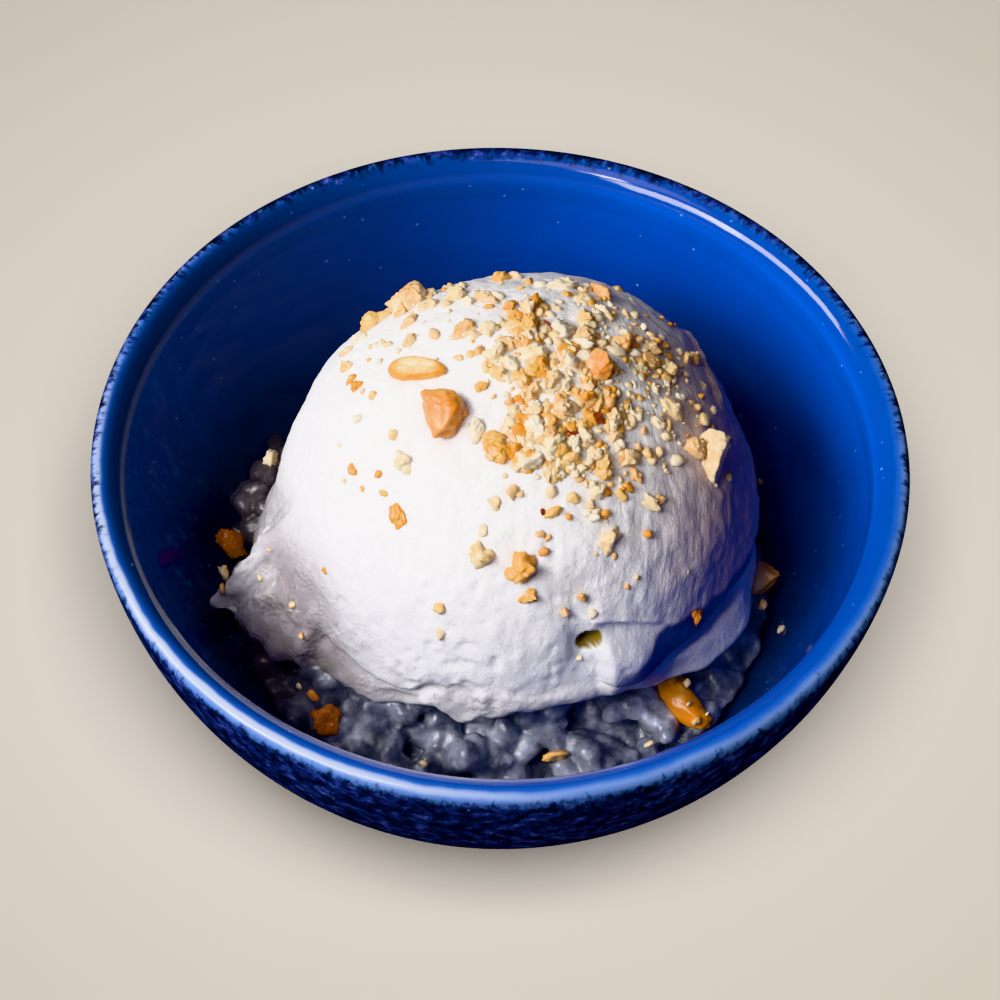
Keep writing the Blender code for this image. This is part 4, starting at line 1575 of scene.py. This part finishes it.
@dataclass
class PeanutPieces:
    """The larger peanut pieces, each in place of its solid.

    On the scoop: node, roast, size, azimuth, tilt and spin. In the bowl: node, roast,
    size, place and turn about X, Y and Z. Some fell apart into a crumbly lump.
    """

    scoop: IceCream
    materials: Materials
    chip: Chip = Chip(rings=40, columns=52, flats=7, depths=(0.28, 0.42), lumpy=0.3,
                      rough=0.16, grit=7.0)
    crumbly: Chip = Chip(rings=44, columns=56, flats=3, depths=(0.32, 0.44), lumpy=0.55,
                         rough=0.22, grit=6.0, gnarl=0.8)
    sink: float = 0.9
    bowl_tones: Pair = (0.2, -0.5)
    on_scoop: tuple[tuple, ...] = (
        ("peanut_chunk_top", Roast.ROASTED, (7.2, 8.0, 5.4), (-145.0, 22.0, 30.0)),
        ("peanut_chunk_crown", Roast.ROASTED, (4.6, 5.6, 4.2), (2.0, 17.0, 10.0)),
        ("peanut_chunk_side", Roast.PALE, (4.6, 7.8, 5.0), (-12.0, 50.0, 15.0)),
        ("peanut_chunk_back", Roast.PALE, (6.2, 5.6, 4.6), (132.0, 44.0, 40.0)),
        ("peanut_chunk_edge", Roast.GOLDEN, (5.4, 4.6, 4.2), (142.0, 50.0, 0.0)),
    )
    in_bowl: tuple[tuple, ...] = (
        ("peanut_chunk_wall", Roast.PALE, (6.2, 5.0, 4.6),
         (38.0, -2.8, 19.4), (20.0, -35.0, 15.0)),
        ("peanut_chunk_left", Roast.ROASTED, (5.4, 3.5, 3.4),
         (-38.6, 1.0, 19.4), (0.0, 40.0, -30.0)),
        ("peanut_chunk_front", Roast.ROASTED, (4.4, 3.8, 3.6),
         (-23.6, -28.8, 19.4), (0.0, 0.0, 20.0)),
    )
    lumps: tuple[str, ...] = ("peanut_chunk_back", "peanut_chunk_edge", "peanut_chunk_left",
                              "peanut_chunk_front")
    slice_grid: tuple[int, int] = (26, 40)
    slice_size: Triple = (9.4, 3.8, 3.0)
    slice_place: Triple = (177.0, 24.5, -19.0)
    half_grid: tuple[int, int] = (40, 60)
    half_size: Triple = (11.0, 4.6, 4.4)
    half_bend: float = 9.5
    half_flat: float = 0.12
    half_place: Triple = (26.6, -24.6, 19.6)
    half_turn: Triple = (0.0, 8.0, -55.0)

    def put(self, name: str, shell: Shell, stand: Matrix, shade: Array, roast: Roast) -> None:
        """Make a piece where its solid is, and hide that solid.

        Args:
            name: node that the piece replaces.
            shell: the piece about its own origin.
            stand: its place, in millimetres.
            shade: tone of each point.
            roast: its roast.
        """
        turn, place = np.array(stand.to_3x3()), np.array(stand.translation)
        moved = Shell(shell.points @ turn.T + place, shell.triangles, shell.quads)
        moved.make(name + "_chopped", self.materials[roast], roast.slot, name, {"shade": shade})

    def stand_on(self, azimuth: float, tilt: float, spin: float, height: float) -> Matrix:
        """Matrix that stands a piece on the dome, its Z outwards, spun about that Z.

        Args:
            azimuth: its place round the dome.
            tilt: its place down from the crown.
            spin: turn about its Z.
            height: the piece's height, which its bed and how far it sinks go by.

        Returns:
            The matrix, in millimetres.
        """
        proud = self.chip.bed * height - self.sink
        place = Vector(self.scoop.dome(np.array(azimuth), np.array(tilt), np.array(proud)))
        out = Vector(unit(azimuth, tilt))
        turn = Vector((0.0, 0.0, 1.0)).rotation_difference(out).to_matrix().to_4x4()
        return Matrix.Translation(place) @ turn @ Matrix.Rotation(math.radians(spin), 4, "Z")

    def lie_in(self, place: Triple, turn: Triple) -> Matrix:
        """Matrix of a place and of turns about X, then Y, then Z.

        Args:
            place: the place, in millimetres.
            turn: the three angles.

        Returns:
            The matrix, in millimetres.
        """
        spin = Matrix.Identity(4)
        for angle, axis in zip(turn, "XYZ"):
            spin = Matrix.Rotation(math.radians(angle), 4, axis) @ spin
        return Matrix.Translation(place) @ spin

    def slice(self) -> tuple[Shell, Array]:
        """Half kernel with its broken face up: domed below, flat above with a groove.

        Returns:
            The shell and the tone of each point, darker round the rim.
        """
        base = ball(*self.slice_grid)
        x, y, z = (2.0 * base.points).T
        groove = 0.10 * bell(y - 0.05, 0.12) * ease((0.75 - np.abs(x)) / 0.3)
        flat = 0.62 + 0.06 * np.abs(y) - groove
        points = np.stack((x, y * (1.0 - 0.22 * x), np.minimum(z, flat)), axis=1)
        points *= 0.5 * np.array(self.slice_size)
        tone = 0.9 - 0.75 * ease((np.hypot(x, y) - 0.55) / 0.35)
        points *= 1.0 + 0.035 * layered_noise(points / 1.1, 61)[:, None]
        return Shell(points, base.triangles, base.quads), tone

    def half(self) -> tuple[Shell, Array]:
        """Whole half kernel: domed above, flat below, bent in an arc along its length.

        Returns:
            The shell and the tone of each point.
        """
        base = ball(*self.half_grid)
        along, across, high = base.points.T
        x, y = along * self.half_size[0], across * self.half_size[1]
        z = np.maximum(high, -self.half_flat) * self.half_size[2]
        turn = x / self.half_bend
        points = np.stack(((self.half_bend - y) * np.sin(turn),
                           self.half_bend - (self.half_bend - y) * np.cos(turn), z), axis=1)
        points *= 1.0 + 0.14 * layered_noise(points / 1.4, 63, 2)[:, None]
        tone = -0.25 + 0.5 * ease((y + 0.5) / 2.0) - 0.45 * bell(across - 0.3, 0.12)
        tone += 1.2 * layered_noise(points / 1.3, 65)
        return Shell(points, base.triangles, base.quads), tone

    def build(self) -> None:
        """Make all the larger pieces."""
        for seed, (name, roast, size, place) in enumerate(self.on_scoop):
            self.chunk(name, roast, size, self.stand_on(*place, size[2]), 100 + seed, 0.5)
        for seed, (name, roast, size, place, turn) in enumerate(self.in_bowl):
            tone = self.bowl_tones[roast is not Roast.PALE]
            self.chunk(name, roast, size, self.lie_in(place, turn), 200 + seed, tone)
        stand = self.stand_on(*self.slice_place, self.slice_size[2])
        shell, tone = self.slice()
        self.put("peanut_slice", shell, stand, tone, Roast.GOLDEN)
        shell, tone = self.half()
        self.put("peanut_half", shell, self.lie_in(self.half_place, self.half_turn), tone,
                 Roast.GOLDEN)

    def chunk(self, name: str, roast: Roast, size: Triple, stand: Matrix, seed: int,
              tone: float) -> None:
        """Make one broken chunk.

        Args:
            name: node that it replaces.
            roast: its roast.
            size: length, width and height.
            stand: its place, in millimetres.
            seed: number of its random flats.
            tone: its middling tone.
        """
        chip = self.crumbly if name in self.lumps else self.chip
        base, points = chip.points(np.array([size]), np.random.default_rng(seed))
        shell = Shell(points[0], base.triangles, base.quads)
        shade = tone + 0.4 * lattice_noise(shell.points / 2.2, seed)
        self.put(name, shell, stand, shade, roast)


@dataclass
class Crumbs:
    """Chopped peanut sprinkled over the dome, thickest in a drift right of the crown.

    Drifts are azimuth, tilt, spread in degrees, share of the crumbs and middling size;
    crumbs placed one by one are azimuth, tilt and size; fallen ones are size and place.
    Tones are how much paler all of them are, and how much darker at their foot, as painted shade.
    """

    scoop: IceCream
    materials: Materials
    coarse: Chip = Chip(rings=22, columns=24, flats=3, depths=(0.34, 0.46), lumpy=0.7,
                        rough=0.34, grit=6.0, gnarl=0.75)
    fine: Chip = Chip(rings=7, columns=9, flats=3, depths=(0.3, 0.44), lumpy=0.6,
                      rough=0.22, grit=4.0)
    coarse_from: float = 1.9
    dense: int = 800
    widen: float = 1.15
    enlarge: float = 1.4
    size_spread: float = 0.42
    size_range: Pair = (0.4, 2.9)
    lowest: float = 80.0
    sink: float = 0.03
    tones: Pair = (0.12, 0.75)
    shares: tuple[float, ...] = (0.0, 0.6, 0.975, 0.998, 1.0)
    drifts: Rows = (
        (-7.0, 4.0, 6.5, 0.16, 1.05), (82.0, 11.0, 4.5, 0.07, 1.0), (-12.0, 18.0, 5.0, 0.12, 1.0),
        (-54.0, 15.0, 5.0, 0.10, 1.05), (-77.0, 20.0, 5.0, 0.12, 1.1),
        (28.0, 26.0, 6.0, 0.08, 0.65), (17.0, 32.0, 6.0, 0.08, 0.6), (57.0, 32.0, 6.0, 0.06, 0.8),
        (-4.0, 34.0, 6.0, 0.06, 0.6), (-30.0, 26.0, 5.0, 0.05, 0.8),
        (-58.0, 31.0, 4.5, 0.05, 0.9), (-8.0, 46.0, 6.0, 0.03, 0.6),
        (118.0, 22.0, 9.0, 0.03, 0.7), (138.0, 38.0, 7.0, 0.03, 1.1),
        (172.0, 35.0, 18.0, 0.01, 0.6), (0.0, 25.0, 25.0, 0.05, 0.6))
    placed: dict[Roast, Rows] = field(default_factory=lambda: {
        Roast.PALE: (
            (-170, 41, 1.7), (-142, 36, 2.7), (157, 30, 2.2), (143, 35, 2.2), (155, 52, 1.9),
            (141, 18, 2.8), (129, 13, 2.4), (121, 26, 2.1), (103, 25, 1.8), (-121, 20, 2.3),
            (126, 44, 3.4), (150, 51, 2.2), (93, 42, 1.8), (73, 34, 3.8), (61, 29, 2.6),
            (51, 30, 2.2), (24, 25, 3.0), (-50, 24, 3.0), (-84, 24, 3.4), (-64, 39, 2.5),
            (-41, 44, 2.9), (-15, 45, 2.6), (-23, 42, 1.9), (-99, 35, 2.1), (-102, 41, 1.7),
            (-60, 46, 2.8), (-108, 67, 1.6), (-77, 60, 1.2), (15, 32, 2.6), (23, 34, 2.6),
            (-31, 37, 1.6), (-90, 32, 1.5),
        ),
        Roast.GOLDEN: (
            (164, 47, 2.2), (176, 41, 2.1), (-176, 36, 1.3), (-154, 34, 1.6), (-155, 47, 1.9),
            (-146, 42, 1.3), (157, 41, 1.0), (170, 15, 1.3), (113, 21, 1.0), (100, 20, 2.2),
            (166, 7, 3.3), (-134, 5, 1.8), (-145, 11, 2.2), (-101, 24, 2.8), (137, 50, 2.4),
            (131, 36, 2.6), (-140, 44, 1.3), (-131, 46, 2.8), (-110, 61, 1.8), (-101, 46, 2.8),
            (-89, 49, 4.2), (-87, 55, 2.2), (-72, 57, 1.8), (-59, 40, 1.7), (-78, 37, 2.2),
            (-72, 38, 1.2), (45, 21, 2.6), (74, 9, 2.4), (14, 37, 2.3), (23, 46, 2.0),
            (-5, 37, 2.8), (-2, 46, 1.8), (-66, 16, 3.0), (-72, 23, 3.9), (-100, 23, 2.4),
            (-63, 26, 2.4), (-50, 30, 2.6), (-48, 49, 1.5), (-56, 57, 1.3),
        ),
        Roast.ROASTED: (
            (-83, 41, 1.6), (-82, 45, 1.7), (-80, 42, 1.2), (-48, 37, 1.1), (60, 38, 3.0),
            (26, 29, 1.5), (-70, 19, 2.6), (-42, 77, 2.1), (10, 14, 2.4), (-55, 36, 1.4),
        ),
        Roast.SKIN: (
            (-37, 21, 2.4), (67, 14, 1.1), (-81, 36, 1.0),
        ),
    })
    fallen: dict[Roast, Rows] = field(default_factory=lambda: {
        Roast.PALE: (
            (0.8, -32.3, -9.8, 33.2), (1.6, -39.4, -10.1, 23.9), (0.9, 11.6, -29.2, 37.0),
            (1.2, 38.9, 16.4, 17.5), (1.4, 41.2, -10.3, 17.9), (1.0, 38.0, -12.2, 15.2),
            (0.7, 31.3, -23.7, 18.0), (1.6, 22.2, -31.0, 18.4), (0.8, 30.2, -27.2, 20.6),
            (3.4, -34.0, 13.0, 23.6), (1.5, 27.4, -23.2, 22.6), (1.1, 27.6, -26.4, 22.0),
            (1.0, -27.6, -24.4, 20.6), (1.2, -9.6, -35.6, 18.6),
        ),
        Roast.GOLDEN: (
            (1.2, -33.7, -11.2, 28.3), (1.1, -28.5, -17.3, 30.4), (1.2, -27.4, -20.0, 26.8),
            (3.0, 8.9, -33.6, 18.6), (1.7, 38.6, -7.4, 19.6), (2.4, -39.4, -6.4, 22.4),
            (1.2, 25.0, -22.6, 22.4), (1.6, 28.6, -28.4, 20.8),
        ),
        Roast.ROASTED: (
            (1.6, -25.6, -26.0, 20.8),
        ),
    })

    def scattered(self, chance: np.random.Generator) -> tuple[Array, Array, Array]:
        """Random crumbs: each picks a drift, then a place about its middle.

        Args:
            chance: source of the random places.

        Returns:
            Azimuths, tilts and sizes.
        """
        drifts = np.array(self.drifts)
        pick = drifts[chance.choice(len(drifts), self.dense, p=drifts[:, 3] / drifts[:, 3].sum())]
        middle = unit(pick[:, 0], pick[:, 1])
        spread = np.radians(self.widen * pick[:, 2])[:, None]
        out = middle + spread * chance.normal(0.0, 1.0, (self.dense, 3))
        out /= np.linalg.norm(out, axis=1, keepdims=True)
        azimuth = np.degrees(np.arctan2(out[:, 1], out[:, 0]))
        tilt = np.degrees(np.arccos(np.clip(out[:, 2], -1.0, 1.0)))
        size = self.enlarge * pick[:, 4] * chance.lognormal(0.0, self.size_spread, self.dense)
        size = np.clip(size, *self.size_range)
        keep = tilt < self.lowest
        return azimuth[keep], tilt[keep], size[keep]

    def off_the_ball(self, roast: Roast) -> Array:
        """Crumbs that fell off the ball, as azimuth, tilt, size and distance above it.

        Args:
            roast: the roast wanted.

        Returns:
            One row for each crumb.
        """
        rows = np.array(self.fallen.get(roast, ()), float).reshape(-1, 4)
        away = rows[:, 1:] - self.scoop.centre
        reach = np.linalg.norm(away, axis=1)
        azimuth = np.degrees(np.arctan2(away[:, 1], away[:, 0]))
        tilt = np.degrees(np.arccos(away[:, 2] / np.maximum(reach, 1e-6)))
        dome = np.linalg.norm(self.scoop.dome(azimuth, tilt) - self.scoop.centre, axis=1)
        return np.stack((azimuth, tilt, rows[:, 0], reach - dome), axis=1)

    def shells(self, chip: Chip, where: Array,
               chance: np.random.Generator) -> tuple[Shell, Array]:
        """Chips half sunk in the ice cream at each place.

        How low a point lies is 0 at the middle of its chip and 1 a third of its size below.

        Args:
            chip: how they break.
            where: azimuth, tilt, size and distance above the ball of each, shape (n, 4).
            chance: source of their random shapes.

        Returns:
            All of them as one shell, and how low the points of each lie, shape (n, points).
        """
        azimuth, tilt, size, above = where.T
        stretch = chance.uniform((0.9, 0.75, 0.65), (1.35, 1.1, 1.0), (len(size), 3))
        base, points = chip.points(size[:, None] * stretch, chance)
        low = ease(0.15 - 2.2 * points[..., 2] / size[:, None])
        turns = standing(unit(azimuth, tilt), chance.uniform(0.0, 360.0, len(size)))
        place = self.scoop.dome(azimuth, tilt, above - self.sink * size)
        points = np.einsum("nij,nkj->nki", turns, points) + place[:, None]
        return base.copies(points), low

    def build(self) -> int:
        """All the crumbs, in a coarse and a fine piece for each roast.

        Returns:
            Number of crumbs.
        """
        chance = np.random.default_rng(19)
        where = np.stack(self.scattered(chance), axis=1)
        lot = chance.random(len(where))
        brighter, darker = self.tones
        total = 0
        for roast, low, high in zip(Roast, self.shares, self.shares[1:]):
            own = where[(lot >= low) & (lot < high)]
            own = np.concatenate((np.array(self.placed[roast], float), own))
            own = np.concatenate((own, np.zeros((len(own), 1))), axis=1)
            own = np.concatenate((own, self.off_the_ball(roast)))
            large = own[:, 2] > self.coarse_from
            for title, chip, some in (("coarse", self.coarse, own[large]),
                                      ("fine", self.fine, own[~large])):
                shell, foot = self.shells(chip, some, chance)
                # painted shade: each crumb's foot is given a darker tone
                shade = chance.random((len(some), 1)) + brighter - darker * foot
                shell.make(f"crumbs_{roast.title}_{title}", self.materials[roast],
                           roast.slot, values={"shade": shade})
            total += len(own)
        return total


# ---------------------------------------------------------------- studio

class Lit(Enum):
    """What a light falls on."""

    SERVING = "EXCLUDE"
    TABLE = "INCLUDE"


@dataclass(frozen=True)
class Softbox:
    """Rectangular studio light; metres, degrees and watts. It aims this far above the table."""

    name: str
    azimuth: float
    elevation: float
    distance: float
    size: Pair
    watts: float
    colour: str
    lit: Lit
    aim: float = 0.035

    def place(self, table: bpy.types.Collection) -> None:
        """Hang the light, unseen by the camera, and link it to what it lights.

        Args:
            table: collection that holds the table.
        """
        lamp = bpy.data.lights.new(self.name, "AREA")
        lamp.shape = "RECTANGLE"
        lamp.size, lamp.size_y = self.size
        lamp.energy = self.watts
        lamp.color = linear(self.colour)[:3]
        box = bpy.data.objects.new(self.name, lamp)
        away = Vector(unit(self.azimuth, 90.0 - self.elevation))
        box.location = away * self.distance + Vector((0.0, 0.0, self.aim))
        box.rotation_mode = "QUATERNION"
        box.rotation_quaternion = away.to_track_quat("Z", "Y")
        box.visible_camera = False
        bpy.context.scene.collection.objects.link(box)
        receivers = bpy.data.collections.new(self.name + "_receivers")
        for board in table.objects:
            receivers.objects.link(board)
        for entry in receivers.collection_objects:
            entry.light_linking.link_state = self.lit.value
        box.light_linking.receiver_collection = receivers


@dataclass(frozen=True)
class Studio:
    """Pale table, soft lights and the camera; lengths of the camera in millimetres.

    Only the camera's reach, nearest and furthest, is in metres.
    """

    table_radius: float = 4000.0
    target: Triple = (0.107, 0.0, 33.38)
    elevation: float = 53.60
    roll: float = 1.6165
    distance: float = 503.9
    lens: float = 126.84
    sensor: float = 36.0
    reach: Pair = (0.01, 20.0)
    lights: tuple[Softbox, ...] = (
        Softbox("left_window", 188.0, 42.0, 1.2, (0.85, 0.35), 11.5, "#fffefc", Lit.SERVING),
        Softbox("front_window", 219.0, 44.0, 1.2, (0.6, 0.4), 9.5, "#fffdfc", Lit.SERVING),
        Softbox("top_fill", 218.0, 75.0, 1.2, (0.5, 0.5), 1.6, "#fff4fb", Lit.SERVING),
        Softbox("glint", 236.0, 60.0, 1.2, (0.12, 0.12), 1.5, "#ffffff", Lit.SERVING),
        Softbox("table_top_light", 270.0, 62.0, 3.0, (1.8, 1.8), 114.0, "#ffffff", Lit.TABLE),
    )
    sky: Stops = ((0.0, "#16121c"), (0.3, "#1e1826"), (0.45, "#32283a"), (0.65, "#2a2230"),
                  (0.8, "#1e1822"), (1.0, "#16121a"))

    def floor(self) -> bpy.types.Collection:
        """Round table top: a disc turned from radius and height.

        Returns:
            Collection that holds it.
        """
        radii = np.array((0.0, 200.0, 900.0, self.table_radius, self.table_radius, 0.0))[:, None]
        height = np.array((0.0, 0.0, 0.0, 0.0, -20.0, -20.0))[:, None]
        grid = turned(radii, height, round_turn(96))
        board = close_grid(grid).make("table_top", TableFinish().make())
        board.visible_glossy = False
        board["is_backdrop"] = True
        table = bpy.data.collections.new("table")
        table.objects.link(board)
        return table

    def camera(self) -> None:
        """Camera at the viewing angle: it looks at the target and is rolled about its axis."""
        lean = math.radians(self.elevation)
        back = Vector((0.0, -math.cos(lean), math.sin(lean)))
        up = Vector((0.0, math.sin(lean), math.cos(lean)))
        right = Vector((1.0, 0.0, 0.0))
        turn = math.radians(self.roll)
        across = right * math.cos(turn) + up * math.sin(turn)
        above = up * math.cos(turn) - right * math.sin(turn)
        data = bpy.data.cameras.new("camera")
        data.lens, data.sensor_width = self.lens, self.sensor
        data.clip_start, data.clip_end = self.reach
        eye = bpy.data.objects.new("camera", data)
        place = (Vector(self.target) + back * self.distance) * MM
        turned_axes = Matrix((across, above, back)).transposed().to_4x4()
        eye.matrix_world = Matrix.Translation(place) @ turned_axes
        bpy.context.scene.collection.objects.link(eye)
        bpy.context.scene.camera = eye

    def surroundings(self) -> None:
        """Room: pale near the horizon and dark overhead, by the height of the direction."""
        world = bpy.data.worlds.new("room")
        world.use_nodes = True
        tree = world.node_tree
        tree.nodes.clear()
        way = add_node(tree, "TexCoord").outputs["Generated"]
        parts = add_node(tree, "SeparateXYZ", (way,)).outputs
        height = add_node(tree, "MapRange", (parts["Z"], -0.5, 1.0)).outputs[0]
        sky = add_node(tree, "ValToRGB", (height,), self.sky).outputs[0]
        glow = add_node(tree, "Background", {"Color": sky}).outputs[0]
        add_node(tree, "OutputWorld", {"Surface": glow})
        bpy.context.scene.world = world

    def build(self) -> None:
        """Table, lights, room and camera, shown with a neutral tone curve."""
        table = self.floor()
        for light in self.lights:
            light.place(table)
        self.surroundings()
        self.camera()
        bpy.context.scene.view_settings.view_transform = "Khronos PBR Neutral"


def corners(box: tuple[Vector, Vector]) -> list[list[float]]:
    """A box's corners as plain lists of metres."""
    return [list(corner) for corner in box]


def main() -> None:
    """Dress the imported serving, piece by piece, and set it in the studio."""
    logging.basicConfig(level=logging.INFO, format="%(name)s: %(message)s")
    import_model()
    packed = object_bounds()
    studio = Studio()
    studio.build()
    LOG.info("studio: table, %d lights, camera", len(studio.lights))
    bowl = Bowl()
    bowl.build(CobaltGlaze().make())
    LOG.info("bowl: %.0f mm across", 2.0 * bowl.radius)
    scoop = IceCream()
    scoop.build(IceCreamFinish().make())
    LOG.info("ice cream: ball of %.1f mm radius", scoop.radius)
    rice = StickyRice(bowl, StickyRiceFinish().make())
    rice.core()
    LOG.info("rice: core and %d grains", rice.grains_on_top())
    materials = {roast: PeanutFinish(roast).make() for roast in Roast}
    pieces = PeanutPieces(scoop, materials)
    pieces.build()
    LOG.info("peanuts: %d larger pieces", len(pieces.on_scoop) + len(pieces.in_bowl) + 2)
    LOG.info("peanuts: %d crumbs", Crumbs(scoop, materials).build())
    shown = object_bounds()
    {"cad": corners(packed), "visual": corners(shown)}


if __name__ == "__main__":
    main()
